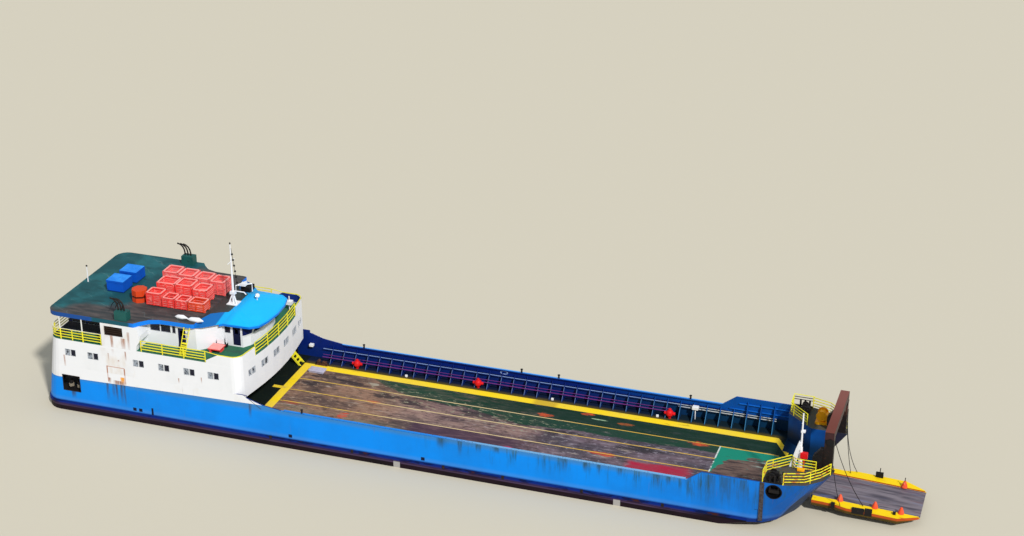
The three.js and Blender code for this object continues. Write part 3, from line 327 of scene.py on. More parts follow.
class Form:
    """Closed shapes gathered into one mesh, in full-size metres."""

    def __init__(self):
        self.points = []
        self.faces = []

    def add(self, points, faces):
        """Adds faces that count their corners from the first of these points."""
        start = len(self.points)
        self.points += [tuple(p) for p in points]
        self.faces += [tuple(start + i for i in face) for face in faces]
        return self

    def box(self, x, y, z):
        """A box between two values of x, of y and of z."""
        points = [(a, b, c) for c in z for b in y for a in x]
        faces = [(0, 2, 3, 1), (4, 5, 7, 6), (0, 1, 5, 4), (2, 6, 7, 3), (0, 4, 6, 2), (1, 3, 7, 5)]
        return self.add(points, faces)

    def skin(self, rings, closed=False):
        """Joins rings of equal counts in turn, with a cap at each end unless the run is closed."""
        count = len(rings[0])
        faces = []
        runs = len(rings) if closed else len(rings) - 1
        for r in range(runs):
            here, there = r * count, ((r + 1) % len(rings)) * count
            for i in range(count):
                j = (i + 1) % count
                faces.append((here + i, here + j, there + j, there + i))
        if not closed:
            faces.append(tuple(reversed(range(count))))
            faces.append(tuple(range((len(rings) - 1) * count, len(rings) * count)))
        return self.add([p for ring in rings for p in ring], faces)

    def tube(self, path, radius, sides=8, closed=False):
        """A round bar along a path. The radius may be one number or one for each point."""
        path = [Vector(p) for p in path]
        radii = radius if isinstance(radius, (list, tuple)) else [radius] * len(path)
        last = len(path) - 1
        rings = []
        side = None
        for i, (point, r) in enumerate(zip(path, radii)):
            if closed:
                along = path[(i + 1) % len(path)] - path[i - 1]
            else:
                along = path[min(i + 1, last)] - path[max(i - 1, 0)]
            along.normalize()
            if side is None:
                side = along.orthogonal().normalized()
            side = (side - along * side.dot(along)).normalized()
            up = along.cross(side)
            rings.append([point + side * (r * math.cos(t)) + up * (r * math.sin(t)) for t in angles(sides)])
        return self.skin(rings, closed)

    def ball(self, centre, radius):
        """A ball, as a tube that swells and shrinks."""
        steps = [math.pi * (k + 0.5) / BALL_RINGS for k in range(BALL_RINGS)]
        path = [(centre[0], centre[1], centre[2] - radius * math.cos(t)) for t in steps]
        return self.tube(path, [radius * math.sin(t) for t in steps], BALL_SIDES)

    def disc(self, centre, axis, radius, half, sides=16):
        """A short cylinder about a centre, along an axis."""
        middle, along = Vector(centre), Vector(axis).normalized()
        return self.tube([middle - along * half, middle + along * half], radius, sides)

    def piece(self, name, finish, body="hull", slot=None, bevel=0.0, smooth=35.0):
        """Makes the object, which then rides on a body."""
        mesh = bpy.data.meshes.new(name)
        mesh.from_pydata([row(*p) for p in self.points], [], self.faces)
        clean = bmesh.new()
        clean.from_mesh(mesh)
        bmesh.ops.recalc_face_normals(clean, faces=clean.faces)
        clean.to_mesh(mesh)
        clean.free()
        mesh.shade_smooth()
        mesh.set_sharp_from_angle(angle=math.radians(smooth))
        made = bpy.data.objects.new(name, mesh)
        bpy.context.scene.collection.objects.link(made)
        mesh.materials.append(finish.material)
        if bevel:
            edges = made.modifiers.new("edges", "BEVEL")
            edges.width = bevel * SCALE
            edges.segments = 2
            edges.limit_method = "ANGLE"
        if body:
            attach(made, body)
        return made


def paint(finish, *nodes):
    """Gives solids of the CAD model a finish."""
    for name in nodes:
        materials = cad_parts[name].data.materials
        materials.clear()
        materials.append(finish.material)


def both(name):
    """The names of a pair of nodes."""
    return [f"{name}_starboard", f"{name}_port"]


print("faces of a ball:", len(Form().ball((0, 0, 0), 1.0).faces))

# %% [markdown]
# The floor is one wide plain sheet at the waterline. It belongs to the picture and not to the ship, so it is
# declared as stage.

# %% Floor
FLOOR = {"half": 400, "thick": 0.05}

floor_finish = Finish("studio_floor", roughness=0.9)
floor_finish.set("Base Color", colour("c9c2b0"))
floor_form = Form()
floor_span = [-FLOOR["half"], FLOOR["half"]]
floor_form.box(floor_span, floor_span, [WATERLINE_Z - FLOOR["thick"], WATERLINE_Z])
floor_form.piece("studio_floor", floor_finish)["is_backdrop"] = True
print("floor at z", round(row(0, 0, WATERLINE_Z).z, 3))

# %% [markdown]
# Weathered paint shows how rain ran down it. Streaks are noise that is drawn out along z. A weep is a
# narrow band under a fitting: a short table gives its place, top, length and width, it wavers a little on
# its way down, and it fades at its foot. Two seams of the shell are drawn in the same way, as narrow
# bands of another colour.

# %% Streaks, weeps and seams
WHITE = "e4e5e8"
CREAM_DIRT = "c9bd9f"
RUST = "7a3c1c"
RUST_STAIN = "8a4c1c"
FRESH_RUST = "f0a030"
SEAM_RUST = "b06a48"
SEAM_DARK = "3a3a42"
SIDE_Y = 6.5
PANEL = {"x": (-14.65, -12.9), "z": (1.75, 3.35), "half": 0.035}
# The seam between the house's side and the bulwark: its height at x 0, its fall, its ends and its half width
FOLD = {"z": 1.889, "slope": 0.696, "x": (-1.97, 0.5), "half": 0.035}


def rust_runs(f, size=0.22, seed=3.0, low=0.62, high=0.78):
    """Streaks that run down a wall."""
    return f.noise(size, 4, (1, 1, 14), seed).rise(low, high)


def weeps(f, table, sway=0.12):
    """Runs from a table of x, top z, length and width on the starboard side, each fading at its foot."""
    bent = f.x + (f.noise(0.35, 3, (1, 1, 6), 2.0) - 0.5) * sway
    torn = f.noise(0.12, 5, (1, 1, 16), 11.0, 0.7).rise(0.36, 0.54)
    runs = [abs(bent - place).fall(width * 0.3, width) * f.z.within(top - length, top, 0.02)
            * f.z.rise(top - length, top - length * 0.2) for place, top, length, width in table]
    return any_of(runs) * (0.3 + torn * 0.7) * (f.y < -SIDE_Y)


def fold_line(f):
    """The slanting seam where the side of the house meets the bulwark."""
    slant = f.z - (FOLD["z"] - FOLD["slope"] * f.x)
    return slant.near(0, FOLD["half"]) * f.x.within(*FOLD["x"]) * (abs(f.y) > HALF_BEAM - 0.02)


def panel_seams(f):
    """The rusty outline of a panel in the starboard side: its two sides and its top."""
    sides = [f.x.near(place, PANEL["half"]) * f.z.within(*PANEL["z"]) for place in PANEL["x"]]
    top = f.z.near(PANEL["z"][1], PANEL["half"]) * f.x.within(*PANEL["x"])
    return top.either(*sides) * (f.y < -SIDE_Y)


def turned_out(f):
    """Above 0 on faces that look away from the middle of the house, and below 0 on those that look in."""
    face_x, face_y = f.faces()[:2]
    return face_y * f.y + face_x * (f.x + 10)


print("panel", round(PANEL["x"][1] - PANEL["x"][0], 2), "m long")

# %% [markdown]
# The shell of the ship is one paint scheme: azure topsides, a white upper part aft above a line that
# climbs forward, a navy band and nearly black paint low down. The inside of the bulwarks is navy, and
# brighter forward. One material covers all of it, so that the zones meet without a gap, and each zone is
# a function.

# %% Shell paint outside
WHITE_LINE = {"z": 1.942, "slope": 0.0243, "end_x": 0.7}
HORN_X = 45.02
SKIRT_X = -0.95
OUTLETS = {"x": (-12.2, -11.6, 3.2, 15.7), "z": -0.66}
DRAUGHT_PLATES = {"x": (13.25, 33.05), "half": 0.3, "z": (-2.1, -1.34)}
# x, top z, length and width of the dirty runs down the starboard shell
SHELL_RUNS = [
    (-14.8, 1.62, 2.2, 0.16),
    (-14.2, 1.6, 1.6, 0.22),
    (-13.85, 1.6, 2.1, 0.18),
    (-13.35, 1.65, 2.4, 0.2),
    (-13.05, 1.65, 2.5, 0.16),
    (-18.4, 0.2, 0.9, 0.3),
    (-0.6, 1.9, 1.6, 0.2),
    (17.4, 1.75, 1.3, 0.5),
    (19.1, 1.75, 1.7, 0.3),
    (20.8, 1.75, 1.0, 0.35),
    (22.4, 1.75, 0.8, 0.3),
    (28.4, 1.75, 1.5, 0.45),
    (30.3, 1.75, 1.2, 0.3),
    (31.4, 1.75, 1.3, 0.22),
    (33.2, 1.75, 1.0, 0.3),
    (36.4, 1.75, 1.7, 0.5),
    (37.4, 1.75, 1.0, 0.3),
    (41.0, 2.5, 2.6, 0.5),
    (42.2, 2.5, 2.4, 0.6),
    (43.6, 2.5, 2.2, 0.45),
]
# The same for the rust under the panel, the dark stain first and then the fresh one
SHELL_STAINS = [(-13.5, 2.0, 0.8, 0.8), (-13.15, 2.4, 0.8, 0.26), (-14.5, 2.2, 0.7, 0.2)]
SHELL_FRESH = [(-13.18, 2.4, 0.75, 0.28)]


def topside_blue(f, patch, thin):
    """The blue, deeper towards the bow, with thin dark streaks and dirty runs from the top edge."""
    x, z = f.x, f.z
    streak = f.noise(0.45, 4, (1, 1, 9), 7.0)
    faint = streak.rise(0.48, 0.62) * thin.rise(0.4, 0.58) * x.rise(12, 24) * z.rise(-0.6, 1.7)
    soiled = x.within(38.6, 45.0, 0.8) * streak.rise(0.4, 0.6) * thin.rise(0.36, 0.6) * z.rise(-1.2, 2.2)
    runs = weeps(f, SHELL_RUNS, 0.3) * (0.75 - x.rise(38, 42) * 0.25)
    return f.layers(
        f.mix(patch.rise(0.35, 0.7), "0086ea", "087cd8"),
        (x.rise(30.0, 46.0) * 0.8, f.mix(patch.rise(0.3, 0.7), "0c74d8", "0c60b4")),
        (x.rise(44.8, 46.5) * 0.6, "044694"),
        (faint * 0.8, "1e5470"),
        (soiled * 0.6, "2c4a50"),
        (z.rise(1.15, 1.65) * x.fall(37.5, 39.0) * 0.5, "4c7484"),
        (runs, f.mix(x.rise(0, 10), "3a3a34", "2c4648")),
    )


def shell_white(f):
    """The white upper part, with rust round and under the panel."""
    return f.layers(
        f.mix(f.noise(1.2, 5, seed=4.0).rise(0.5, 0.9) * 0.5, WHITE, CREAM_DIRT),
        (weeps(f, SHELL_STAINS, 0.1) * 0.85, RUST_STAIN),
        (weeps(f, SHELL_FRESH, 0.1), FRESH_RUST),
        (panel_seams(f) * 0.75, SEAM_RUST),
    )


def shell_outside(f, patch, thin, dirt):
    """Blue below and white above, the navy band, a little rust, and the outlets above the waterline painted
    dark as painted shade in their openings.
    """
    x, z = f.x, f.z
    upper = (z > WHITE_LINE["z"] + WHITE_LINE["slope"] * x) * (x < WHITE_LINE["end_x"])
    # Painted shade: each outlet is a dark patch for the shade inside its opening.
    outlets = [x.near(place, 0.17) * z.near(OUTLETS["z"], 0.16) for place in OUTLETS["x"]]
    outlets.append(x.near(-10.4, 0.1) * z.within(-0.95, -0.25))
    return f.layers(
        topside_blue(f, patch, thin),
        (upper, shell_white(f)),
        (z.fall(-0.8, -0.4) * 0.15, "7c8890"),
        (z.fall(-1.02, -0.8) * 0.95, "02206a"),
        (fold_line(f), SEAM_DARK),
        (dirt * 0.4, RUST),
        (any_of(outlets) * (f.y < -HALF_BEAM + 0.05), "0c1430"),
    )


def shell_below(f):
    """Nearly black bottom paint, with a paler purple band under the rubbing band and two draught plates on
    each side.
    """
    x, z = f.x, f.z
    patchy = 0.5 + f.noise(1.5, 3, (4, 1, 1), 6.0).rise(0.4, 0.6) * 0.5
    plates = [x.near(place, DRAUGHT_PLATES["half"]) * z.within(*DRAUGHT_PLATES["z"])
              for place in DRAUGHT_PLATES["x"]]
    return f.layers(
        f.mix(f.noise(0.8, 5, (3, 3, 1), 2.0).rise(0.4, 0.7), "1c0c18", "0c060a"),
        (z.near(-1.42, 0.1) * x.fall(37, 41) * patchy, "46344e"),
        (any_of(plates) * (abs(f.y) > 6.8) * 0.8, "b4b0ac"),
    )


print("runs down the shell:", len(SHELL_RUNS))

# %% [markdown]
# Behind the bulwarks the paint is navy, darker than outside partly as painted shade for lack of sun. Painted
# highlights on the frames' edges stand for the light they catch, the top rims are bleached or scraped, and
# the horns at the bow have their own blue inside, darkened low down by painted shade. Under the house,
# painted shade makes the inside nearly black. A face's direction at rest tells outside from inside where the
# place alone doesn't.

# %% Shell paint inside
HAWSE = {"x": 46.13, "z": 1.87}
HORN_INNER_Y = 5.6
RIM = {"z": (1.63, 1.8), "x": (2.4, 39.0)}
BOTTOM_PAINT_Z = -1.3


def shell_inside(f, patch):
    """Navy, brighter forward, with painted highlights on the frames' edges, and painted shade nearly black
    under the house.
    """
    x, z = f.x, f.z
    fore = x.rise(24, 40)
    low = f.mix(fore, "08246a", "0a3454")
    high = f.mix(fore, "041f6c", "044a98")
    # Painted highlights: the frames' edges are lighter, where they would catch the light.
    painted_highlight_edges = (abs(f.y) < 6.68) * (abs(f.faces()[0]) < 0.6) * (x > 0.6) * z.within(0.05, 1.1, 0.1)
    return f.layers(
        f.mix(z.rise(0.95, 1.15), low, high),
        (f.noise(0.6, 5, (1, 1, 3), 5.0).rise(0.5, 0.8) * 0.5, "101c30"),
        (painted_highlight_edges * 0.75, f.mix(fore, "5c7098", "3c7ca8")),
        # Painted shade: under the house the inside is nearly black.
        (x < -2.2, f.mix(patch.rise(0.3, 0.7), "262424", "181616")),
    )


def horn_inside(f, patch):
    """The horns' inner walls: blue darkened by painted shade, darkest low down, and dark at the port tip."""
    upper = f.mix(patch.rise(0.35, 0.65), "0c54a4", "0a3c7c")
    # Painted shade: the wall darkens towards its foot.
    wall = f.mix(f.z.rise(0.6, 2.2), "0a2848", upper)
    return f.mix(f.x.rise(48.4, 49.2) * (f.y > 0) * 0.9, wall, "241e20")


def shell_finish():
    """The whole shell, zone over zone."""
    f = Finish("shell_paint", roughness=0.55, shine=0.15)
    x, y, z = f.x, f.y, f.z
    face_z = f.faces()[2]
    patch = f.noise(4.0, 4, seed=1.0)
    thin = f.noise(0.14, 5, (1, 1, 14), 17.0, 0.7)
    dirt = rust_runs(f) * f.noise(3.0, 2, seed=9.0).rise(0.48, 0.62)
    outside = (abs(y) > HALF_BEAM - 0.02).either(x > HORN_X, (x < SKIRT_X) * (turned_out(f) > 0), z < -0.05)
    rim = z.within(*RIM["z"]) * x.within(*RIM["x"]) * (face_z > 0.5)
    port_rim = f.mix(y > 6.7, f.mix(x.rise(12, 24), "0c2a70", "1a5cb0"), "4aa0ee")
    starboard_rim = f.mix(thin.rise(0.55, 0.65), f.mix(x.rise(16, 22), "1c8cec", "7cb8e4"), "3c4a58")
    platform = (face_z > 0.8) * (x > 45) * (z > 2.6)
    u = x - HAWSE["x"]
    v = z - HAWSE["z"]
    # Painted shade: the hawse's mouth is near black, for the shade inside the pipe.
    hawse = (u * u + v * v).fall(0.44, 0.5) * (abs(y) > 5.0) * (z > 1.0)
    top = f.layers(
        shell_inside(f, patch),
        (outside, shell_outside(f, patch, thin, dirt)),
        ((x > HORN_X) * (abs(y) < HORN_INNER_Y), horn_inside(f, patch)),
        ((x > HORN_X) * (y < -HORN_INNER_Y) * 0.35, "0c4a94"),
        (rim * (y > 0), port_rim),
        (rim * (y < 0) * 0.8, starboard_rim),
        (platform, f.mix(thin.rise(0.4, 0.6), "3c4a46", "54463c")),
        (hawse, "0c0c10"),
    )
    f.set("Base Color", f.mix(z.rise(BOTTOM_PAINT_Z - 0.02, BOTTOM_PAINT_Z + 0.02), shell_below(f), top))
    f.set("Roughness", 0.5 + dirt * 0.3)
    return f.bump(f.noise(1.2, 2, (1, 1, 1.6), 8.0), 0.03, 0.35)


shell = shell_finish()
paint(shell, "hull", "aft_plating", *both("bulwark"), *both("bow_horn"))
print("nodes in the shell's finish:", len(shell.tree.nodes))

# %% [markdown]
# Below the shell come three rougher finishes. The rubbing band is scuffed by berthing. Shaft brackets and
# rudders have brown-red bottom paint under a little growth, and the propellers are bronze that has begun
# to tarnish.

# %% Rubbing band, bottom gear and propellers


def strake_finish():
    """Navy above, and below a purple that is a painted sheen on the navy, black towards the bow; scuffed
    through to rust.
    """
    f = Finish("strake_paint", roughness=0.6, shine=0.1)
    scuff = f.noise(0.5, 5, (4, 4, 1), 3.0)
    upper = f.layers(f.mix(scuff.rise(0.48, 0.58), "042474", "041444"), (scuff.rise(0.6, 0.66), "3a1c1c"))
    # Painted sheen: the lower half is purple instead of navy, and black towards the bow.
    lower = f.mix(f.x.rise(38, 42), f.mix(scuff.rise(0.5, 0.6), "30285a", "281834"), "10101c")
    f.set("Base Color", f.mix(f.z.rise(-1.22, -1.15), lower, upper))
    return f.bump(scuff, 0.02, 0.5)


def bottom_finish():
    """Brown-red paint under growth."""
    f = Finish("bottom_paint", roughness=0.75)
    growth = f.noise(0.4, 6, seed=2.0)
    f.set("Base Color", f.mix(growth.rise(0.4, 0.7), "4a1c22", "33221c"))
    return f.bump(growth, 0.01, 0.6)


def bronze_finish():
    """Bronze with dull patches."""
    f = Finish("bronze", roughness=0.35, metallic=0.9, shine=0.5)
    return f.set("Base Color", f.mix(f.noise(0.2, 5, seed=2.0).rise(0.45, 0.7), "b58a44", "6a5a34"))


paint(strake_finish(), "rubbing_strake")
paint(bottom_finish(), *both("shaft_bracket"), *both("rudder"))
paint(bronze_finish(), *both("propeller"))
print("materials so far:", len(bpy.data.materials))

# %% [markdown]
# The house is white, and it is the dirt that makes it look real: weeps from the rims of openings and from
# fittings, and a brown tinge round the casing. The casing's louvred recess is darkened by painted shade, and
# the wall under the roof's overhang is navy under painted shade. Every white piece shares one finish, and
# the walls lay more coats over it.

# %% House paint
RECESS = {"x": (-14.6, -12.75), "z": (6.5, 7.4)}
# x, top z, length and width of each weep on the starboard side
WEEPS = [
    (-19.0, 3.78, 1.5, 0.12),
    (-17.6, 2.4, 0.7, 0.18),
    (-14.65, 3.4, 1.9, 0.09),
    (-14.4, 4.7, 0.9, 0.08),
    (-13.4, 4.15, 0.25, 0.12),
    (-12.9, 3.3, 1.6, 0.10),
    (-12.65, 5.1, 1.1, 0.12),
    (-12.2, 7.1, 2.2, 0.16),
    (-12.75, 6.4, 1.4, 0.3),
    (-13.9, 6.5, 2.0, 0.2),
    (-7.46, 3.3, 0.6, 0.11),
    (-5.2, 3.75, 0.7, 0.07),
]
HOUSE_STAINS = [(-13.5, 2.25, 0.8, 0.75), (-13.1, 2.5, 0.8, 0.2)]
HOUSE_FRESH = [(-13.16, 2.36, 0.75, 0.22)]


def white_finish(name, *coats):
    """White paint with a little grey and cream dirt, and more coats over it."""
    f = Finish(name, roughness=0.55)
    grey = f.noise(1.6, 5, (1, 1, 2.2), 4.0).rise(0.45, 0.85) * 0.3
    base = f.layers(f.mix(grey, WHITE, "c3c5c6"), (rust_runs(f, 0.16, 6.0, 0.66, 0.8) * 0.3, CREAM_DIRT))
    for coat in coats:
        base = coat(f, base)
    f.set("Base Color", base)
    return f.bump(f.noise(0.8, 3, seed=3.0), 0.012, 0.3)


def house_wear(f, base):
    """Rust and stains on the starboard side, then painted shade in the casing's louvred recess and on the
    navy wall under the roof, and navy on the wing walls' inner faces.
    """
    x, y, z = f.x, f.y, f.z
    tinge = f.noise(0.9, 5, (1, 1, 2), 5.0).rise(0.45, 0.7) * (y < -HALF_BEAM + 0.3)
    recess = x.within(*RECESS["x"]) * z.within(*RECESS["z"])
    recess = recess * (abs(y) < HALF_BEAM - 0.01) * (abs(y) > SIDE_Y)
    shaded = x.fall(-15.1, -15.0) * (abs(y) < 5.2) * (z > 5.4)
    band = (abs(y) < 6.86) * (x > -4.7) * z.within(5.4, 6.25) * (abs(y) > 4.25)
    return f.layers(
        base,
        (x.within(-15.0, -12.0, 0.4) * tinge * 0.35, "c8b090"),
        (weeps(f, WEEPS) * 0.8, "9a5c30"),
        (panel_seams(f) * 0.75, SEAM_RUST),
        (weeps(f, HOUSE_STAINS, 0.1) * z.fall(1.9, 2.4) * 0.8, RUST_STAIN),
        (weeps(f, HOUSE_FRESH, 0.1), FRESH_RUST),
        # Painted shade: the louvred recess is dark brown.
        (recess, f.mix(f.noise(0.3, 5), "38281f", "1c1614")),
        # Painted shade over navy: the wall under the roof's overhang, dark grey below and navy above.
        (shaded, f.mix(z.rise(6.3, 6.4), "2c2a34", "0c1a4c")),
        (band * (turned_out(f) < 0), "16307c"),
        (fold_line(f), SEAM_DARK),
    )


def wheelhouse_glazing(f, base):
    """Navy glass across the wheelhouse's front, between white bars."""
    across = abs(f.y)
    bars = across.near(0.4, 0.06).either(across.near(1.28, 0.07), across.near(2.36, 0.12))
    glass = f.mix(f.noise(0.6, 3).rise(0.4, 0.7), "0a174e", "16286c")
    return f.mix((f.x > -2.78) * f.z.within(6.52, 7.4) * (1 - bars), base, glass)


paint(white_finish("house_paint", house_wear), "cabin_deck", "cabin_walls", "upper_house",
      *both("wing_wall"), *both("engine_casing"))
plain_white = white_finish("fitting_white")
paint(white_finish("wheelhouse_paint", wheelhouse_glazing), "wheelhouse")
paint(plain_white, "main_mast", "bow_mast", "stern_light_mast")
print("weeps on the house:", len(WEEPS))

# %% [markdown]
# The weather decks are green and worn, with painted shade under the aft overhang. On the roof the paint has
# worn to brown along the starboard edge and forward, and pale scratches cross it. Its fascia is azure from
# the casing forward. The visor ahead of the roof is a fresh light blue on its front slope, and painted shade
# makes it a deeper blue to the sides.

# %% Upper deck, roof and visor
# The edge between teal and brown on the roof, as corners of x and y
ROOF_WEAR_EDGE = ((-20.4, -6.2), (-17.5, -4.6), (-14.5, -3.9), (-12.6, -1.6), (-11.6, 6.0))


def upper_deck_finish():
    """Green on top, dark navy under the aft overhang as painted shade, and white edges."""
    f = Finish("upper_deck_paint", roughness=0.7)
    green = f.mix(f.noise(0.9, 6, seed=2.0).rise(0.4, 0.75), "2a6a4e", "38504a")
    # Painted shade: the deck under the aft overhang is dark navy.
    green = f.mix(f.x.fall(-19.3, -18.9) * (abs(f.y) < 6.3) * 0.9, green, "0c1434")
    f.set("Base Color", f.mix(f.facing_up(), WHITE, green))
    return f.bump(f.noise(0.3, 4), 0.01, 0.3)


def roof_finish():
    """Teal that is worn to brown, with scratches, and a fascia in three blues."""
    f = Finish("roof_paint", roughness=0.6)
    x, y = f.x, f.y
    wide = f.noise(2.4, 5, seed=5.0)
    fine = f.noise(0.5, 6, (4, 1, 1), 9.0)
    teal = f.layers(
        colour("184a50"),
        (wide.rise(0.42, 0.66), "236268"),
        (fine.rise(0.5, 0.7) * 0.6, "15383c"),
    )
    brown = f.mix(fine.rise(0.35, 0.7), "34383a", "5a5250")
    top = f.mix((y - x.through(*ROOF_WEAR_EDGE) + (wide - 0.5) * 3.0).fall(-0.6, 0.7), teal, brown)
    bent = f.noise(1.0, 3, (1, 1, 1), 3.0) * 1.6 + y * 0.9 + x * 0.55
    waves = f.node("ShaderNodeMath", {"operation": "FRACT"}, {0: bent * 0.55})
    top = f.mix(waves.near(0.5, 0.02, 0.02) * wide.rise(0.46, 0.6) * 0.25, top, "7c9496")
    sides = f.layers(
        colour("1e5aa8"),
        (x.fall(-16.1, -15.5), "17488e"),
        (x.within(-15.8, -12.0, 0.2), "16505e"),
        (x.rise(-12.2, -11.6), "0f78e0"),
    )
    f.set("Base Color", f.mix(f.facing_up(), sides, top))
    return f.bump(fine, 0.02, 0.3)


def visor_finish():
    """Light blue in front, deepened to the sides by painted shade, and a dark worn top aft."""
    f = Finish("visor_paint", roughness=0.4)
    blue = f.layers(
        f.mix(f.noise(1.5, 3).rise(0.4, 0.8) * 0.4, "06b4f8", "0cc0f4"),
        # Painted shade: the sides, aft of the front slope, are a deeper blue.
        (f.x.fall(-4.4, -3.6) * 0.5, "1a86c0"),
        (f.x.fall(-5.0, -4.85), "1064ac"),
        ((f.z > 8.04) * (f.x < -4.6), f.mix(f.noise(0.4, 5), "26302f", "3a4444")),
    )
    return f.set("Base Color", f.mix(f.z.rise(7.62, 7.68), "0a74d8", blue))


paint(upper_deck_finish(), "upper_deck")
paint(roof_finish(), "roof")
paint(visor_finish(), "wheelhouse_visor")
print("materials so far:", len(bpy.data.materials))

# %% [markdown]
# Rails, winches, lockers and floats have one paint each, worn through to what is under it. The chips are
# the high parts of a fine noise, and the same noise lifts the paint's edge a little as bump. Where a
# piece has a second colour, a last coat puts it on.

# %% Rails, winches and roof gear


def chipped_finish(name, main, under, size=0.3, low=0.62, roughness=0.5, coat=None):
    """A paint worn through to what is under it, with a last coat over both."""
    f = Finish(name, roughness=roughness)
    f.chips = f.noise(size, 6, seed=1.0)
    tone = f.mix(f.noise(1.1, 3, seed=4.0).rise(0.4, 0.8) * 0.3, main, under)
    base = f.mix(f.chips.rise(low, low + 0.08), tone, under)
    f.set("Base Color", coat(f, base) if coat else base)
    return f.bump(f.chips, 0.006, 0.4)


def rail_coat(f, base):
    """Orange rust on the bow's rails, the black fairlead between them, and the roof's white posts."""
    rusty = f.x.rise(44, 45) * f.y.fall(-3.9, -3.7) * f.chips.rise(0.52, 0.62)
    fairlead = (f.x > 45.2) * (f.x < 46.8) * (abs(f.y) > 6.64) * (f.z < 3.6)
    posts = (f.z > 6.42) * (f.x < -14.0)
    return f.layers(base, (rusty, "c8742a"), (fairlead, "161415"), (posts, "dcdcd8"))


def locker_coat(f, base):
    """Lids bleached on top, and a dark foot."""
    lid = f.mix(f.noise(0.8, 4).rise(0.4, 0.7), "1c7ee2", "2f92ee")
    return f.layers(base, (f.facing_up() * (f.z > 8.7), lid), (f.z.fall(8.08, 8.2), "0a2450"))


def exhaust_coat(f, base):
    """Sooty pipes above the housing."""
    return f.mix(f.z.rise(8.9, 8.94), base, f.mix(f.chips, "141414", "2c2624"))


def portal_coat(f, base):
    """A red-brown beam whose sides are darker as painted shade, on legs that are black at the foot, the port
    one brown above.
    """
    top = f.mix(f.y.rise(-3, 3), "6c382e", "7c4a42")
    # Painted shade: the beam's sides are a darker brown than its top.
    beam = f.mix(f.facing_up(), f.mix(f.chips, "45282a", "2c1a1c"), top)
    legs = f.mix(f.z.rise(4.2, 4.8) * (f.y > 0) * 0.8, base, f.mix(f.chips, "5c3830", "3c2622"))
    return f.mix(f.z.rise(5.7, 5.74), legs, beam)


def raft_coat(f, base):
    """A dark belt between the raft's two tiers."""
    return f.mix(f.z.within(8.48, 8.66), base, "6e2a1e")


def float_coat(f, base):
    """The floats to port are paler, and all the rims are bleached by the sun."""
    faded = f.mix(f.y.rise(-1.0, 1.5) * 0.45, base, "f08484")
    return f.mix(f.facing_up() * 0.85, faded, f.mix(f.chips, "f08a84", "f6b4ac"))


rail_yellow = chipped_finish("rail_yellow", "e8e030", "c8a02c", low=0.68, coat=rail_coat)
paint(rail_yellow, *both("side_rail"), "front_rail", "aft_rail", *both("platform_rail"), "deck_stairs",
      "roof_ladder")
iron = chipped_finish("black_iron", "161517", "33241e", roughness=0.6)
paint(iron, *both("windlass"), *both("anchor"))
winch_orange = chipped_finish("winch_orange", "ffb010", "a8681c", low=0.64)
paint(winch_orange, "ramp_winch")
paint(chipped_finish("portal_paint", "181315", "2c1c1a", low=0.56, coat=portal_coat), "ramp_portal")
paint(chipped_finish("exhaust_teal", "1d5652", "1c2a28", low=0.6, coat=exhaust_coat), *both("exhaust"))
door_dark = chipped_finish("dark_door", "10173a", "20202a", low=0.66)
paint(door_dark, *both("house_door"), *both("wheelhouse_door"))
locker_blue = chipped_finish("locker_blue", "0a52c0", "0c3c8c", size=0.5, coat=locker_coat)
paint(locker_blue, *both("locker"), *both("locker_lid"))
float_red = chipped_finish("float_red", "ea3c38", "f07c74", size=0.4, low=0.56, coat=float_coat)
paint(float_red, "deck_bench")
paint(chipped_finish("raft_orange", "d2441c", "a05038", coat=raft_coat), "octagonal_raft")
print("paints:", len(bpy.data.materials))

# %% [markdown]
# The ramp's plating is bare grey-purple steel, streaked along its length, between two yellow walkways.
# The sides of the walkways are orange-red. The ramp lies at a small slope, so the paint's height is
# measured from the ramp's own plane through the hinge.

# %% Ramp paint
RAMP_HINGE = (48.45, -0.77)
RAMP_TILT = math.radians(2.45)
RAMP_PLATING_HALF = 2.08


def on_ramp(along, y, lift):
    """A place on the ramp: along it from the hinge, across, and above its plane."""
    x = RAMP_HINGE[0] + along * math.cos(RAMP_TILT) + lift * math.sin(RAMP_TILT)
    z = RAMP_HINGE[1] - along * math.sin(RAMP_TILT) + lift * math.cos(RAMP_TILT)
    return (x, y, z)


def ramp_finish():
    """Streaked steel in the middle, and yellow walkways with orange-red sides."""
    f = Finish("ramp_paint", roughness=0.55)
    streak = f.noise(0.3, 5, (16, 1, 1), 5.0)
    plating = f.layers(
        f.mix(f.noise(0.5, 5, (8, 1, 1), 2.0).rise(0.4, 0.65), "7a727a", "544e58"),
        (streak.rise(0.52, 0.66) * 0.8, "33303c"),
        (streak.fall(0.36, 0.44) * 0.6, "5a3038"),
        (f.noise(0.35, 4, (12, 1, 1), 9.0).rise(0.6, 0.7) * 0.6, "44649a"),
    )
    worn = f.noise(0.4, 5, (3, 1, 1), 1.0)
    lift = (f.z - RAMP_HINGE[1]) * math.cos(RAMP_TILT) + (f.x - RAMP_HINGE[0]) * math.sin(RAMP_TILT)
    below = f.mix(worn.rise(0.4, 0.6), "2c1c10", "140e0c")
    side = f.mix(lift.rise(-0.2, -0.05), below, f.mix(worn, "c8481c", "8c2c18"))
    walkway = f.mix(worn.rise(0.6, 0.75), "f0cc04", "c06a20")
    walkway = f.mix((1 - f.facing_up()) * 0.95, walkway, side)
    beside = (abs(f.y) > RAMP_PLATING_HALF) * (f.x > RAMP_HINGE[0] + 0.05)
    f.set("Base Color", f.mix(beside, plating, walkway))
    return f.bump(f.noise(0.3, 4, (6, 1, 1)), 0.01, 0.4)


paint(ramp_finish(), "bow_ramp")
print("ramp tip:", [round(v, 2) for v in full("bow_ramp")[1]])

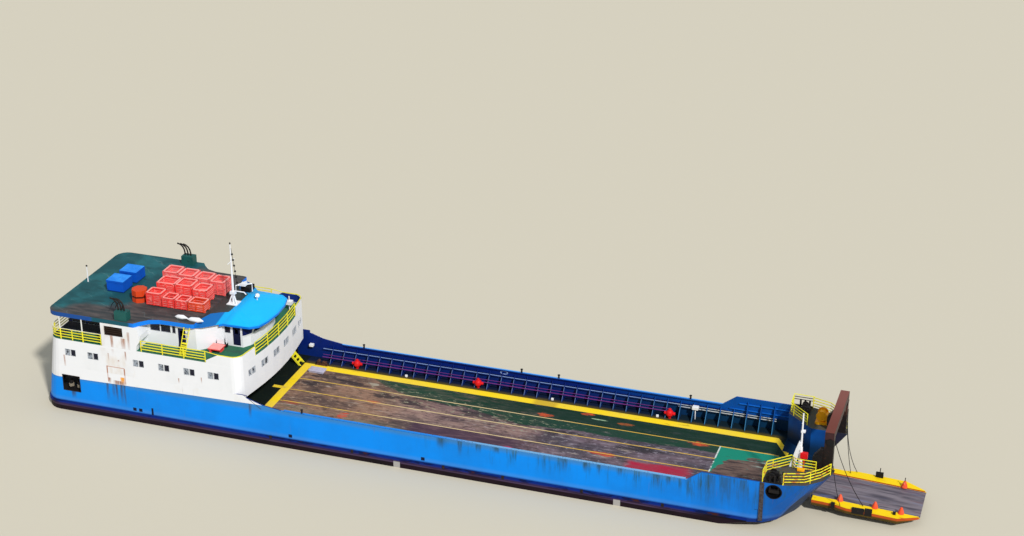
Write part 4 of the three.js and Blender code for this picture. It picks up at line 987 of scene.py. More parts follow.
# %% [markdown]
# The car deck is the largest surface in view, so its paint carries the story. Bare steel shows where the
# paint has worn through: brown aft, purple forward, scuffed along the ship, with dark blots, a little
# grime and a spill of red. One set of noises serves all its coats, so that wear and paint edges agree
# with each other.

# %% Car deck wear
# Centre and half lengths of the dark blots where the paint has gone
BLOTS = [
    (2.2, 3.3, 1.6, 0.5),
    (1.4, 1.6, 0.9, 0.5),
    (5.4, 2.7, 1.8, 0.5),
    (9.0, 1.5, 1.6, 0.5),
    (11.5, 1.0, 1.3, 0.5),
    (14.2, 2.0, 2.2, 0.5),
    (18.2, 0.9, 1.8, 0.6),
    (22.0, 0.6, 1.4, 0.6),
    (26.5, 0.1, 2.0, 0.4),
    (33.0, -0.6, 2.4, 0.5),
]


def add_deck_noises(f):
    """The noises that the coats of the deck share, kept with the finish."""
    f.broad = f.noise(2.6, 6, (2, 1, 1), 1.0, 0.65)
    f.fine = f.noise(0.35, 6, (5, 1, 1), 4.0, 0.65)
    f.scuff = f.noise(0.8, 7, (6, 1, 1), 6.0, 0.75)
    f.specks = f.noise(0.28, 4, (2.2, 1, 1), 14.0, 0.7)
    f.wobble = (f.noise(1.6, 7, (2.5, 1, 1), 8.0, 0.7) - 0.5) * 3.6
    f.torn = (f.noise(0.7, 7, (2.5, 1, 1), 12.0, 0.8) - 0.5) * 2.4
    f.frayed = (f.scuff - 0.5) * 4.0


def oval(f, x, y, half_x, half_y):
    """Grows outward from 0 at a centre on the deck, and is 1 on the edge of an oval round it."""
    u = (f.x - x) * (1 / half_x)
    v = (f.y - y) * (1 / half_y)
    return u * u + v * v


def worn_steel(f):
    """Steel in three tones from aft to forward, with pale scuffs and dark pits along it."""
    along = f.x + f.wobble
    pink = (f.y - f.wobble * 0.5).within(-2.2, 1.2, 0.5) * along.within(10.0, 24.0, 1.0)
    pale = f.scuff.rise(0.57, 0.66) * 0.7 * (f.y + f.wobble).within(-3.6, 2.6, 0.6)
    return f.layers(
        f.mix(f.broad.rise(0.38, 0.6), "584640", "8c6c5a"),
        (along.rise(8, 15), f.mix(f.broad.rise(0.4, 0.62), "4a3c42", "745a5c")),
        (along.rise(22, 27), f.mix(f.broad.rise(0.42, 0.62), "46404a", "6a5a64")),
        (pink * f.scuff.rise(0.4, 0.56) * 0.5, "a4877c"),
        (f.fine.rise(0.52, 0.68) * 0.6, f.mix(f.x.rise(20, 28), "9c8672", "8a8088")),
        (f.fine.fall(0.34, 0.47) * 0.7, "332c2e"),
        (pale, "b4a69a"),
    )


def deck_stains(f, base):
    """Dark blots, specks, grime aft to starboard, a purple field amidships and red paint forward of it."""
    x, y = f.x, f.y
    for place, across, length, width in BLOTS:
        blot = oval(f, place, across, length, width) + f.torn * 1.6 + (f.fine - 0.5) * 4.0
        base = f.mix(blot.fall(0.5, 1.0) * 0.75, base, "2a262c")
    grime = (y + f.wobble * 0.4).fall(-3.6, -2.6) * x.within(0.2, 12.5, 1.0)
    purple = (y - f.wobble * 0.25 - f.torn * 0.2).fall(-2.35, -2.15)
    purple = purple * (x + f.wobble * 0.6).rise(12.8, 13.4) * x.fall(22, 25)
    red = (x + f.wobble * 0.6 + f.torn).within(33.0, 38.2, 0.5)
    red = red * (y + f.wobble * 0.3 + f.torn * 0.5).fall(-2.7, -2.2)
    return f.layers(
        base,
        (f.specks.rise(0.56, 0.62) * 0.5, f.mix(x.rise(12, 24), "a88e7c", "9c94a0")),
        (f.specks.fall(0.38, 0.45) * 0.55, "2e2828"),
        (grime * f.scuff.rise(0.4, 0.6) * 0.6, "5e6656"),
        (purple * 0.9, f.mix(f.fine.rise(0.45, 0.65), "443040", "5c4450")),
        (red * 0.9, f.mix(f.fine.rise(0.4, 0.6), "a8143a", "982c40")),
    )


print("blots on the deck:", len(BLOTS))

# %% [markdown]
# Over the steel lie the deck's own paints: a green margin to port whose edge wanders with the wear, a teal
# square forward, dabs of primer, thin lane lines and the broad yellow line of the walkway. Dark margins run
# under the bulwarks, and painted shade darkens the deck under the house. Each is a coat with a mask, laid in
# the order in which real coats would go on.

# %% Car deck paint
LANE_LINES_Y = (2.2, 0.0, -2.2)
STRIP = {"y": 4.78, "half": 0.46, "end": 44.3}
TEAL_FROM_X = 39.8
# Corners of x and y along the worn edges of the green margin and of the teal square
GREEN_EDGE = ((5.0, 6.0), (7.1, 4.0), (10.6, 2.0), (15.7, 1.65), (22.2, 0.4), (27.0, 0.8), (33.7, 0.7),
              (37.7, 1.0))
TEAL_EDGE = ((39.8, -2.3), (41.0, 0.2), (43.0, 0.9), (44.8, 1.3))
# Centre, half lengths and colour of each patch of primer or spilt paint
DABS = [
    (6.6, -3.03, 0.55, 0.5, "c8442e"),
    (8.3, 0.05, 0.9, 0.2, "b8603c"),
    (23.8, 2.75, 0.9, 0.36, "c8502a"),
    (27.3, 4.05, 0.7, 0.3, "c8502a"),
    (31.0, 3.3, 0.7, 0.26, "96502a"),
    (37.9, 1.95, 1.0, 0.42, "c8502a"),
    (30.4, -2.3, 1.3, 0.4, "b4482e"),
    (22.3, -3.9, 0.6, 0.35, "b03060"),
    (28.6, 3.4, 0.9, 0.12, "9cb894"),
    (6.9, 3.2, 0.65, 0.3, "a49c8c"),
    (1.2, -2.4, 0.9, 0.35, "8c4a3a"),
]


def green_margin(f, base):
    """Dark green to port of a worn edge, browner aft."""
    x, y = f.x, f.y
    past = y - x.through(*GREEN_EDGE)
    green = (past + f.wobble * 0.25 + f.frayed * 0.6).rise(-0.05, 0.15)
    deep = f.layers(
        f.mix(x.rise(12, 22) * y.rise(2.0, 2.3), "123c2c", "042c1e"),
        (f.fine.rise(0.44, 0.6) * 0.7, f.mix(x.rise(14, 24), "4a4c40", "16322a")),
        (f.scuff.rise(0.54, 0.62) * x.fall(16, 24) * 0.8, "6c5c50"),
    )
    flecks = f.specks.rise(0.56, 0.62) * past.within(-1.6, 1.4, 0.5) * x.fall(22, 30)
    return f.layers(base, (green * (0.95 - f.scuff.rise(0.56, 0.66) * 0.6), deep), (flecks * 0.7, "8a8c74"))


def teal_square(f, base):
    """Teal ahead of the lanes, worn back to brown on the starboard side."""
    teal = (f.y + f.wobble * 0.6 + f.frayed * 0.7 - f.x.through(*TEAL_EDGE)).rise(-0.1, 0.1)
    worn = f.layers(
        f.mix(f.fine.rise(0.4, 0.65), "6c5850", "3a2e30"),
        (f.scuff.rise(0.56, 0.62) * 0.8, "9cb0a8"),
        (f.specks.rise(0.6, 0.66) * 0.6, "2c6a60"),
    )
    square = f.mix(teal * (1 - f.fine.rise(0.58, 0.7) * 0.6), worn, "14806a")
    return f.mix((f.x > TEAL_FROM_X) * (f.y < 2.15), base, square)


def spilt_paint(f, base):
    """Dabs of primer and spilt paint, with torn edges."""
    for place, across, length, width, code in DABS:
        dab = oval(f, place, across, length, width) + f.torn + (f.fine - 0.5) * 5.0
        base = f.mix(dab.fall(0.4, 1.0) * (0.9 - f.specks.rise(0.5, 0.6) * 0.5), base, code)
    return base


def dark_margins(f, base):
    """Dark margins under the bulwarks with a brown tinge and rubbish, and painted shade under the house."""
    x, y = f.x, f.y
    margin = (y > STRIP["y"]).either(y < -6.2)
    return f.layers(
        base,
        (margin * 0.95, f.mix(x.rise(28, 38), "021232", "061c28")),
        (y.within(STRIP["y"], 5.6, 0.3) * x.fall(44, 45) * 0.75, "5e500e"),
        (margin * f.specks.rise(0.62, 0.68) * x.rise(39, 43) * 0.8, "6c5844"),
        # Painted shade: the deck under the house is nearly black.
        (x.fall(-0.85, -0.75), f.mix(f.broad, "0c1c16", "080c0c")),
    )


def deck_lines(f, base):
    """The lane lines, the dashes where they end, and the yellow line of the walkway with its bend."""
    x, y = f.x, f.y
    lanes = [y.near(lane, 0.055, 0.012) * x.within(0.0, TEAL_FROM_X) for lane in LANE_LINES_Y]
    lanes.append(y.near(LANE_LINES_Y[0], 0.07, 0.012) * x.within(TEAL_FROM_X, 44.9))
    lines = any_of(lanes) * (1 - f.fine.rise(0.54, 0.64) * 0.7)
    dashes = x.near(TEAL_FROM_X, 0.06) * y.within(-2.4, 2.2) * f.scuff.rise(0.44, 0.5)
    middle = STRIP["y"] - (x - STRIP["end"]).rise(0.0, 2.0, "LINEAR") * 3.2
    along = abs(y - middle).fall(STRIP["half"] - 0.02, STRIP["half"] + 0.02) * x.within(-0.8, 45.6)
    across = x.within(-0.8, 0.0) * y.within(-6.6, STRIP["y"] + 0.2)
    stub = x.within(-1.7, -0.8) * y.within(-0.1, 0.35)
    worn = (f.fine.rise(0.58, 0.68) * 0.6).either((y + f.torn).fall(-4.4, -3.2) * (x < 0.3) * 0.6)
    yellow = f.mix(f.broad.rise(0.4, 0.6) * 0.5, "f4d21c", "e8c850")
    return f.layers(
        base,
        (lines * 0.95, f.mix(x.within(9.0, 26.0, 3.0) * 0.7, "d8b048", "dccaa4")),
        (dashes, "c8d0cc"),
        (along.either(across, stub) * (1 - worn), f.mix(x.within(22.0, 24.2, 0.3) * 0.5, yellow, "9c7430")),
    )


def car_deck_finish():
    """The whole deck, coat over coat."""
    f = Finish("car_deck_paint", roughness=0.7)
    add_deck_noises(f)
    base = worn_steel(f)
    for coat in (deck_stains, green_margin, teal_square, spilt_paint, dark_margins, deck_lines):
        base = coat(f, base)
    f.set("Base Color", base)
    f.set("Roughness", 0.6 + f.fine * 0.25)
    return f.bump(f.fine, 0.012, 0.35)


print("dabs of paint on the deck:", len(DABS))

# %% [markdown]
# The deck's paint is a coat over the steel, so it is its own mesh a few millimetres thick: a lid on the
# raised field with the lanes, flat sheets round it, and a sloping one on the sill that leads to the ramp.

# %% Car deck coat
COAT = 0.004
LAP = 0.002
FIELD = {"x": (0.35, 44.6), "half": 5.1, "top": 0.03}
SILL = {"from": 45.4, "to": 48.0, "drop": 0.572, "half": 3.04, "coat": 0.01}
# Span along x and half width of each flat sheet
DECK_SHEETS = [((-18.5, 45.0), 6.72), ((-21.0, -18.5), 3.8), ((45.0, SILL["from"]), 3.12)]

deck_coat = Form()
field_x = [FIELD["x"][0] - LAP, FIELD["x"][1] + LAP]
field_half = FIELD["half"] + LAP
deck_coat.box(field_x, [-field_half, field_half], [0.001, FIELD["top"] + COAT])
for along, half in DECK_SHEETS:
    deck_coat.box(along, [-half, half], [-0.01, COAT])
half, thick = SILL["half"], SILL["coat"]
section = [(-half, 0.0), (half, 0.0), (half, thick), (-half, thick)]
ends = ((SILL["from"], 0.0), (SILL["to"], -SILL["drop"]))
deck_coat.skin([[(x, y, low + z) for y, z in section] for x, low in ends])
deck_coat.piece("car_deck_coat", car_deck_finish(), slot="deck_paint")
print("deck coat:", len(deck_coat.faces), "faces")

# %% [markdown]
# Each window is a pane a little way inside its opening, with a thin rim round it. Of each pair in the
# cabin's sides, the pane towards the stern is milky and the other is dark. In the bowed front both are
# milky. The stern leans, so its panes lean with it.

# %% Windows
PAIR = {"pane": 0.47, "mullion": 0.1, "low": 3.8, "top": 4.42}
SIDE_WINDOWS_X = [-18.3, -16.0, -11.4, -8.86, -6.35, -3.98]
FRONT_WINDOWS_Y = [-4.95, -2.89, -0.73, 1.39, 3.59, 5.42]
STERN_WINDOWS_Y = [-3.2, -1.1, 1.1, 3.2]
# Spans along x and the sills of the windows in the upper house's sides
UPPER_WINDOWS = [(-10.9, -9.95, 6.75), (-9.85, -8.9, 6.75), (-8.7, -8.4, 6.75), (-18.9, -17.5, 6.35),
                 (-17.3, -15.9, 6.35)]
UPPER_WALL = {"y": 5.1, "top": 7.45, "aft_x": -19.3, "aft_y": (2.0, 4.0), "aft_sill": 6.35}
WHEELHOUSE_SIDE = {"y": 3.2, "x": (-4.5, -3.95), "z": (6.6, 7.2)}
WHEELHOUSE_PANES_Y = [(-2.2, -1.35), (-1.2, -0.45), (-0.35, 0.35), (0.45, 1.2), (1.35, 2.2)]
WHEELHOUSE_PANES_Z = (6.5, 7.3)
PANE_DEPTHS = (0.05, 0.08)
RIM_RADIUS = 0.022


def glass_finish(name, code, roughness):
    """Glass as a dark or milky sheet with smears. Nothing stands behind it, so it needn't be clear."""
    f = Finish(name, roughness=roughness, shine=0.3)
    return f.set("Base Color", f.mix(f.noise(0.35, 4, rough=0.7).rise(0.45, 0.62), code, "1c222c"))


def window(panes, corners, inward):
    """A pane through four corners, set inward from a thin rim."""
    panes.skin([[Vector(c) + Vector(inward) * depth for c in corners] for depth in PANE_DEPTHS])
    rims.tube(corners, RIM_RADIUS, 6, closed=True)


def around(a, b, low, high):
    """The corners of an upright pane, each as its place along the wall and its height."""
    return ((a, low), (b, low), (b, high), (a, high))


def pair(centre):
    """The spans of the two panes of a cabin window."""
    step = (PAIR["pane"] + PAIR["mullion"]) / 2
    half = PAIR["pane"] / 2
    return [(centre + side * step - half, centre + side * step + half) for side in (-1, 1)]


def span(side, near, far):
    """A span of y on one side of the ship, from its lower to its higher end."""
    return sorted([side * near, side * far])


def front_x(y):
    """Where the cabin's front wall is, which bows forward."""
    return -0.72 - 0.018 * y * y


def stern_x(z):
    """Where the leaning stern is."""
    return STERN_X + (z + 1.3) * 1.3 / 6.65


def wheelhouse_x(z, y):
    """Where the wheelhouse's front is: faceted across, and leaning forward above the sills."""
    lean = max(0.0, (z - 6.35) / 1.1) * 0.4
    across = abs(y)
    return lean - (1.9 + 0.08 * across if across < 1.25 else 2.0 + 0.24 * (across - 1.25))


rims = Form()
dark_panes = Form()
milky_panes = Form()
low, high = PAIR["low"], PAIR["top"]
for centre in SIDE_WINDOWS_X:
    for side in (-1, 1):
        for panes, (a, b) in zip((milky_panes, dark_panes), pair(centre)):
            window(panes, [(x, side * HALF_BEAM, z) for x, z in around(a, b, low, high)], (0, -side, 0))
for centre in FRONT_WINDOWS_Y:
    for a, b in pair(centre):
        window(milky_panes, [(front_x(y), y, z) for y, z in around(a, b, low, high)], (-1, 0, 0))
for centre in STERN_WINDOWS_Y:
    for panes, (a, b) in zip((milky_panes, dark_panes), pair(centre)):
        window(panes, [(stern_x(z), y, z) for y, z in around(a, b, low, high)], (1, 0, 0))
for side in (-1, 1):
    for a, b, sill in UPPER_WINDOWS:
        corners = [(x, side * UPPER_WALL["y"], z) for x, z in around(a, b, sill, UPPER_WALL["top"])]
        window(dark_panes, corners, (0, -side, 0))
    corners = around(*WHEELHOUSE_SIDE["x"], *WHEELHOUSE_SIDE["z"])
    window(dark_panes, [(x, side * WHEELHOUSE_SIDE["y"], z) for x, z in corners], (0, -side, 0))
    corners = around(*span(side, *UPPER_WALL["aft_y"]), UPPER_WALL["aft_sill"], UPPER_WALL["top"])
    window(dark_panes, [(UPPER_WALL["aft_x"], y, z) for y, z in corners], (1, 0, 0))
for a, b in WHEELHOUSE_PANES_Y:
    corners = around(a, b, *WHEELHOUSE_PANES_Z)
    window(dark_panes, [(wheelhouse_x(z, y), y, z) for y, z in corners], (-1, 0, 0))

frame_grey = Finish("window_frame", roughness=0.5)
frame_grey.set("Base Color", colour("8c9298"))
rims.piece("window_rims", frame_grey, slot="white_paint")
dark_panes.piece("dark_panes", glass_finish("dark_glass", "080c24", 0.2), slot="dark_door")
milky_panes.piece("milky_panes", glass_finish("milky_glass", "9aa2ac", 0.3), slot="dark_door")
print("panes:", (len(dark_panes.faces) + len(milky_panes.faces)) // 6)

# %% [markdown]
# Along the inside of each bulwark run stringers and pipes that rest on the brackets, with hydrants and
# small boxes at the foot. The same table of places serves both sides. On top stand short mooring posts.

# %% Bulwark fittings
# Span along x, y from the middle, z and radius of each pipe
GREY_PIPES = [((0.6, 43.8), 6.45, 1.15, 0.035), ((35.0, 43.8), 6.45, 0.94, 0.045)]
PINK_PIPES = [((0.8, 34.5), 5.74, 0.66, 0.045), ((0.8, 34.5), 5.9, 0.85, 0.03)]
# Spans along x, y and z of each stringer
STRINGERS = [
    ((0.8, 39.5), (6.62, 6.75), (1.15, 1.2)),
    ((39.5, 44.9), (6.6, 6.75), (1.42, 1.47)),
    ((40.4, 44.9), (6.6, 6.75), (2.0, 2.05)),
]
HYDRANTS_X = [4.35, 16.35, 34.4]
HYDRANT = {"y": 5.65, "z": 0.55, "top": 1.0, "pipe": 0.13, "ball": 0.35, "arm": 0.14, "reach": 0.5}
FOOT_BOXES_X = [9.3, 23.5, 33.3]
TOP_POSTS_X = {-1: [4.35], 1: [4.65, 20.2, 23.75, 36.0]}
TOP_POST = {"y": 6.7, "z": (1.7, 2.05), "radius": 0.08, "cap": 0.12}
FAIRLEAD = {"x": 18.5, "z": 1.42, "half": (0.34, 0.15), "pipe": 0.05}


def pipe_coat(f, base):
    """The pipes are blue-grey aft and a paler grey forward."""
    return f.mix(f.x.rise(33, 37), base, f.mix(f.chips.rise(0.55, 0.65), "b4b8b8", "6c6860"))


def stringer_coat(f, base):
    """The stringers are as dark as the bulwark aft, and brighter than it at the bow."""
    return f.mix(f.x.rise(38.5, 40.5), "081f62", base)


def lengthwise(form, side, runs):
    """Pipes along the ship on one side, from a table of runs."""
    for (start, end), y, z, radius in runs:
        form.tube([(start, side * y, z), (end, side * y, z)], radius)


def hydrant(form, x, y):
    """A standpipe with a round valve body and a short arm to each side."""
    z, reach = HYDRANT["z"], HYDRANT["reach"]
    form.tube([(x, y, 0.02), (x, y, HYDRANT["top"])], HYDRANT["pipe"], 12)
    form.ball((x, y, z), HYDRANT["ball"])
    form.tube([(x - reach, y, z), (x + reach, y, z)], HYDRANT["arm"], 12)


pipe_grey = chipped_finish("pipe_grey", "7c94c4", "4a4a52", low=0.64, coat=pipe_coat)
pipe_pink = chipped_finish("pipe_pink", "662c74", "3a2440")
hydrant_red = chipped_finish("hydrant_red", "d0141c", "8a1a18", low=0.66)
cabinet_white = white_finish("cabinet_white")
stringer_blue = chipped_finish("stringer_blue", "1464bc", "0c3c80", low=0.64, coat=stringer_coat)
pipes = Form()
pink_pipes = Form()
hydrants = Form()
boxes = Form()
posts = Form()
fairleads = Form()
stringers = Form()
for side in (-1, 1):
    lengthwise(pipes, side, GREY_PIPES)
    lengthwise(pink_pipes, side, PINK_PIPES)
    for along, across, upright in STRINGERS:
        stringers.box(along, span(side, *across), upright)
    for x in HYDRANTS_X:
        hydrant(hydrants, x, side * HYDRANT["y"])
    for x in FOOT_BOXES_X:
        boxes.box([x - 0.11, x + 0.11], span(side, 5.5, 5.66), [0.01, 0.22])
    post_y = side * TOP_POST["y"]
    for x in TOP_POSTS_X[side]:
        posts.tube([(x, post_y, z) for z in TOP_POST["z"]], TOP_POST["radius"], 10)
        posts.disc((x, post_y, TOP_POST["z"][1]), (0, 0, 1), TOP_POST["cap"], 0.03, 12)
    fairleads.tube([(FAIRLEAD["x"] + FAIRLEAD["half"][0] * math.cos(t), side * 6.72,
                     FAIRLEAD["z"] + FAIRLEAD["half"][1] * math.sin(t)) for t in angles(20)],
                   FAIRLEAD["pipe"], closed=True)
    fairleads.disc((FAIRLEAD["x"], side * 6.8, FAIRLEAD["z"]), (0, 1, 0), 0.15, 0.02)
# A white cabinet on a post, forward to port, and one beside the front of the house
boxes.box([36.3, 36.85], [6.05, 6.5], [1.0, 1.28])
boxes.tube([(36.58, 6.2, 1.0), (36.58, 6.2, 0.02)], 0.05)
boxes.box([-0.85, -0.45], [6.35, 6.7], [1.15, 1.4])
pipes.piece("bulwark_pipes_white", pipe_grey, slot="white_paint")
pink_pipes.piece("bulwark_pipes_pink", pipe_pink, slot="winch_paint")
stringers.piece("bulwark_stringers", stringer_blue, slot="bulwark_paint")
hydrants.piece("hydrant_boxes", hydrant_red, slot="float_red", bevel=0.03)
boxes.piece("foot_boxes", cabinet_white, slot="white_paint", bevel=0.02)
posts.piece("bulwark_posts", iron, slot="black_iron")
fairleads.piece("bulwark_fairleads", pipe_grey, slot="white_paint")
print("hydrants on each side:", len(HYDRANTS_X))

# %% [markdown]
# Inside the mooring openings aft stand bollards with turns of rope round them. The openings have thick
# dark rims, black rubber stands on the corner where the shell meets the horn, and small pads sit on the
# rubbing band.

# %% Mooring gear and fenders
STRAKE_PADS_X = [1.3, 9.1, 17.6, 23.0, 30.0, 37.0]
BOLLARD = {"x": (-18.95, -18.1), "y": 6.25, "radius": 0.17, "top": 0.85, "cap": 0.22}
ROPE = {"z": (0.35, 0.45, 0.55), "turn": 0.2, "radius": 0.05}
MOORING_PORT = {"x": (-19.4, -17.65), "z": (0.17, 1.72), "rim": 0.05}
HORN_FENDER = {"x": (45.0, 45.34), "y": (6.84, 6.94), "z": (-1.0, 2.62)}


def rubber_coat(f, base):
    """The stands at the bow are bleached grey."""
    return f.mix(f.x > 44.5, base, f.mix(f.chips.rise(0.4, 0.6), "4a464a", "3a3230"))


rubber = chipped_finish("rubber", "1c1614", "3c2a24", size=0.2, low=0.56, roughness=0.8, coat=rubber_coat)
rope = chipped_finish("rope", "8c8272", "5a5044", size=0.1, low=0.55, roughness=0.9)
bollards = Form()
turns = Form()
edges = Form()
for side in (-1, 1):
    y = side * BOLLARD["y"]
    bollards.box([-19.3, -17.7], [y - 0.25, y + 0.25], [0.0, 0.1])
    for x in BOLLARD["x"]:
        bollards.tube([(x, y, 0.05), (x, y, BOLLARD["top"])], BOLLARD["radius"], 12)
        bollards.disc((x, y, BOLLARD["top"] + 0.03), (0, 0, 1), BOLLARD["cap"], 0.04)
        for z in ROPE["z"]:
            loop = [(x + ROPE["turn"] * math.cos(t), y + ROPE["turn"] * math.sin(t), z) for t in angles(12)]
            turns.tube(loop, ROPE["radius"], 6, closed=True)
    opening = around(*MOORING_PORT["x"], *MOORING_PORT["z"])
    edges.tube([(x, side * HALF_BEAM, z) for x, z in opening], MOORING_PORT["rim"], 6, closed=True)
    edges.box(HORN_FENDER["x"], span(side, *HORN_FENDER["y"]), HORN_FENDER["z"])
    for x in STRAKE_PADS_X:
        edges.box([x - 0.12, x + 0.12], span(side, 6.9, 6.985), [-1.24, -0.95])
bollards.piece("mooring_bollards", iron, slot="black_iron", bevel=0.01)
turns.piece("mooring_rope_turns", rope, slot="black_iron")
edges.piece("rims_and_fenders", rubber, slot="black_iron")
print("turns of rope:", len(ROPE["z"]) * len(BOLLARD["x"]) * 2)

# %% [markdown]
# Two things stand on the deck just ahead of the house: a grey hatch with a lid that laps over it, and a
# small rusty machine by the stairs. Both are gathered from a few plain shapes, and so are most of the
# fittings that follow, so one helper gathers tubes, boxes and balls from tables.

# %% Hatch and deck machinery


def gather(tubes=(), boxes=(), balls=()):
    """A form of tubes (path, radius, sides), boxes (spans of x, y and z) and balls (centre, radius)."""
    form = Form()
    for tube in tubes:
        form.tube(*tube)
    for spans in boxes:
        form.box(*spans)
    for ball in balls:
        form.ball(*ball)
    return form


hatch_grey = chipped_finish("hatch_grey", "b4b0c4", "6a6674", low=0.64)
hatch = gather(boxes=[([0.3, 1.75], [3.55, 4.35], [0.03, 0.2]), ([0.24, 1.81], [3.49, 4.41], [0.2, 0.25])])
hatch.piece("deck_hatch", hatch_grey, slot="deck_paint", bevel=0.03)
machinery = gather(boxes=[([0.3, 1.5], [5.1, 5.45], [0.01, 0.2]), ([0.95, 1.4], [5.15, 5.42], [0.2, 0.42])])
machinery.disc((0.6, 5.3, 0.36), (0, 1, 0), 0.17, 0.16)
rusty = chipped_finish("rusty_iron", "30221e", "8c5440", size=0.15, low=0.56, roughness=0.8)
machinery.piece("deck_machinery", rusty, slot="black_iron", bevel=0.02)
print("hatch and machinery:", len(hatch.faces) + len(machinery.faces), "faces")

# %% [markdown]
# The life floats are open crates of moulded battens. Each stack of the CAD model is drawn again as tiers
# of battens with corner posts and a wide rim, sun-bleached on top. The pieces replace the plain solids in
# the view.

# %% Life floats
# Span of y of each row, and the span of x and the height of each stack in it
STACKS = {
    "life_floats_starboard": ((-3.1, -1.8), [(-12.3, -10.8, 1.3), (-10.7, -9.5, 1.0), (-9.4, -8.2, 0.95),
                                             (-8.1, -6.5, 0.95)]),
    "life_floats_middle": ((-1.4, 0.2), [(-12.1, -10.3, 1.6), (-10.2, -8.6, 1.65), (-8.5, -7.1, 1.4)]),
    "life_floats_port": ((0.7, 2.3), [(-12.6, -11.1, 1.7), (-11.0, -9.5, 1.6), (-9.4, -7.9, 1.5),
                                      (-7.8, -6.4, 1.4)]),
}
# The one stack that is orange, by its row and where it starts
ORANGE_STACK = ("life_floats_starboard", -8.1)
ROOF_TOP = 8.05
SKID = {"rise": 0.1, "inset": 0.25, "half": 0.08}
TALL = 1.2
POST = 0.1
BATTEN = {"wide": 0.06, "high": 0.11, "pitch": 0.2}
RIM_BOARD = {"wide": 0.17, "high": 0.1}


def crate(form, xs, ys, zs):
    """An open crate: a floor, corner posts, battens round it, a wide rim and a post amidships."""
    (x0, x1), (y0, y1), (z0, z1) = xs, ys, zs
    thick = BATTEN["wide"]
    form.box([x0 + thick, x1 - thick], [y0 + thick, y1 - thick], [z0, z0 + thick])
    for x in (x0 + 0.01, x1 - POST - 0.01):
        for y in (y0 + 0.01, y1 - POST - 0.01):
            form.box([x, x + POST], [y, y + POST], [z0, z1])
    count = max(2, round((z1 - z0) / BATTEN["pitch"]))
    for i in range(count):
        low = z0 + (z1 - z0 - RIM_BOARD["high"]) * i / count + 0.02
        level = [low, low + BATTEN["high"]]
        for y in (y0 + 0.03, y1 - 0.03 - thick):
            form.box([x0 + 0.02, x1 - 0.02], [y, y + thick], level)
        for x in (x0 + 0.03, x1 - 0.03 - thick):
            form.box([x, x + thick], [y0 + 0.02, y1 - 0.02], level)
    wide = RIM_BOARD["wide"]
    foot = z1 - RIM_BOARD["high"]
    for y in (y0, y1 - wide):
        form.box([x0, x1], [y, y + wide], [foot, z1])
    for x in (x0, x1 - wide):
        form.box([x, x + wide], [y0 + 0.1, y1 - 0.1], [foot, z1 - 0.002])
    middle = (x0 + x1) / 2
    for y in (y0 - 0.005, y1 - thick + 0.005):
        form.box([middle - thick, middle + thick], [y, y + thick], [z0, z1 - 0.08])


orange_float = chipped_finish("orange_float", "dc3c1c", "e87a50", size=0.4, low=0.6, coat=float_coat)
for name, (ys, stacks) in STACKS.items():
    orange = Form()
    red = Form()
    for x0, x1, height in stacks:
        form = orange if (name, x0) == ORANGE_STACK else red
        tiers = 2 if height > TALL else 1
        foot = ROOF_TOP + SKID["rise"]
        rise = (height - SKID["rise"]) / tiers
        for tier in range(tiers):
            crate(form, (x0, x1), ys, (foot + tier * rise, foot + (tier + 1) * rise - 0.012))
        for y in (ys[0] + SKID["inset"], ys[1] - SKID["inset"]):
            form.box([x0, x1], [y - SKID["half"], y + SKID["half"]], [ROOF_TOP + 0.002, foot + 0.004])
    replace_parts(red.piece(f"{name}_crates", float_red, slot="float_red"), name)
    if orange.faces:
        orange.piece("orange_crate", orange_float, slot="float_red")
print("float stacks:", sum(len(row_of_stacks[1]) for row_of_stacks in STACKS.values()))

# %% [markdown]
# The roof carries small things that stand out: a searchlight, a frame with a lamp box, a pair of white
# lens-shaped floats, lamps down the mast's stay, and lights fore and aft. Tables list the white ones and
# the dark ones by what they are.

# %% Roof and upper deck fittings
WHITE_TUBES = [
    # Two lens-shaped floats
    ([(-8.6, -4.6, 8.2), (-8.3, -4.6, 8.22), (-7.8, -4.62, 8.24), (-7.3, -4.65, 8.2)],
     [0.03, 0.2, 0.22, 0.03]),
    ([(-7.3, -4.75, 8.2), (-6.9, -4.75, 8.24), (-6.2, -4.72, 8.24), (-5.75, -4.7, 8.18)],
     [0.04, 0.22, 0.24, 0.03]),
    # The frame of the lamp box
    ([(-5.7, 1.7, 8.06), (-5.7, 1.7, 8.85), (-4.5, 2.6, 8.85), (-4.5, 2.6, 8.06)], 0.06),
    ([(-5.7, 1.7, 8.85), (-5.2, 2.9, 8.85), (-5.2, 2.9, 8.06)], 0.05),
    # The post of the searchlight on the visor
    ([(-3.4, 1.3, 7.9), (-3.4, 1.3, 8.25)], 0.05),
    # The crosstree of the main mast, and a pipe at its foot
    ([(-5.0, -0.9, 12.2), (-5.0, 0.5, 12.2)], 0.03),
    ([(-5.0, -0.2, 9.3), (-3.9, -0.2, 9.3), (-3.7, -0.2, 9.1)], 0.05),
    # Posts on the upper deck, to port and to starboard
    ([(-2.05, 5.1, 5.36), (-2.05, 5.1, 6.8)], 0.06),
    ([(-4.2, -3.6, 5.36), (-4.2, -3.6, 6.4)], 0.05),
]
WHITE_BOXES = [
    # The lamp box, a box on the mast, one on the port post and a board by the starboard door
    ([-5.35, -4.85], [1.9, 2.4], [8.78, 9.0]),
    ([-5.25, -4.75], [-0.4, 0.0], [9.0, 9.25]),
    ([-2.35, -1.75], [4.85, 5.35], [6.0, 6.35]),
    ([-4.9, -4.2], [-4.05, -3.98], [5.85, 6.25]),
]
# The searchlight and a stern lamp
WHITE_BALLS = [((-3.35, 1.3, 8.38), 0.22), ((-18.4, -6.5, 7.5), 0.16)]
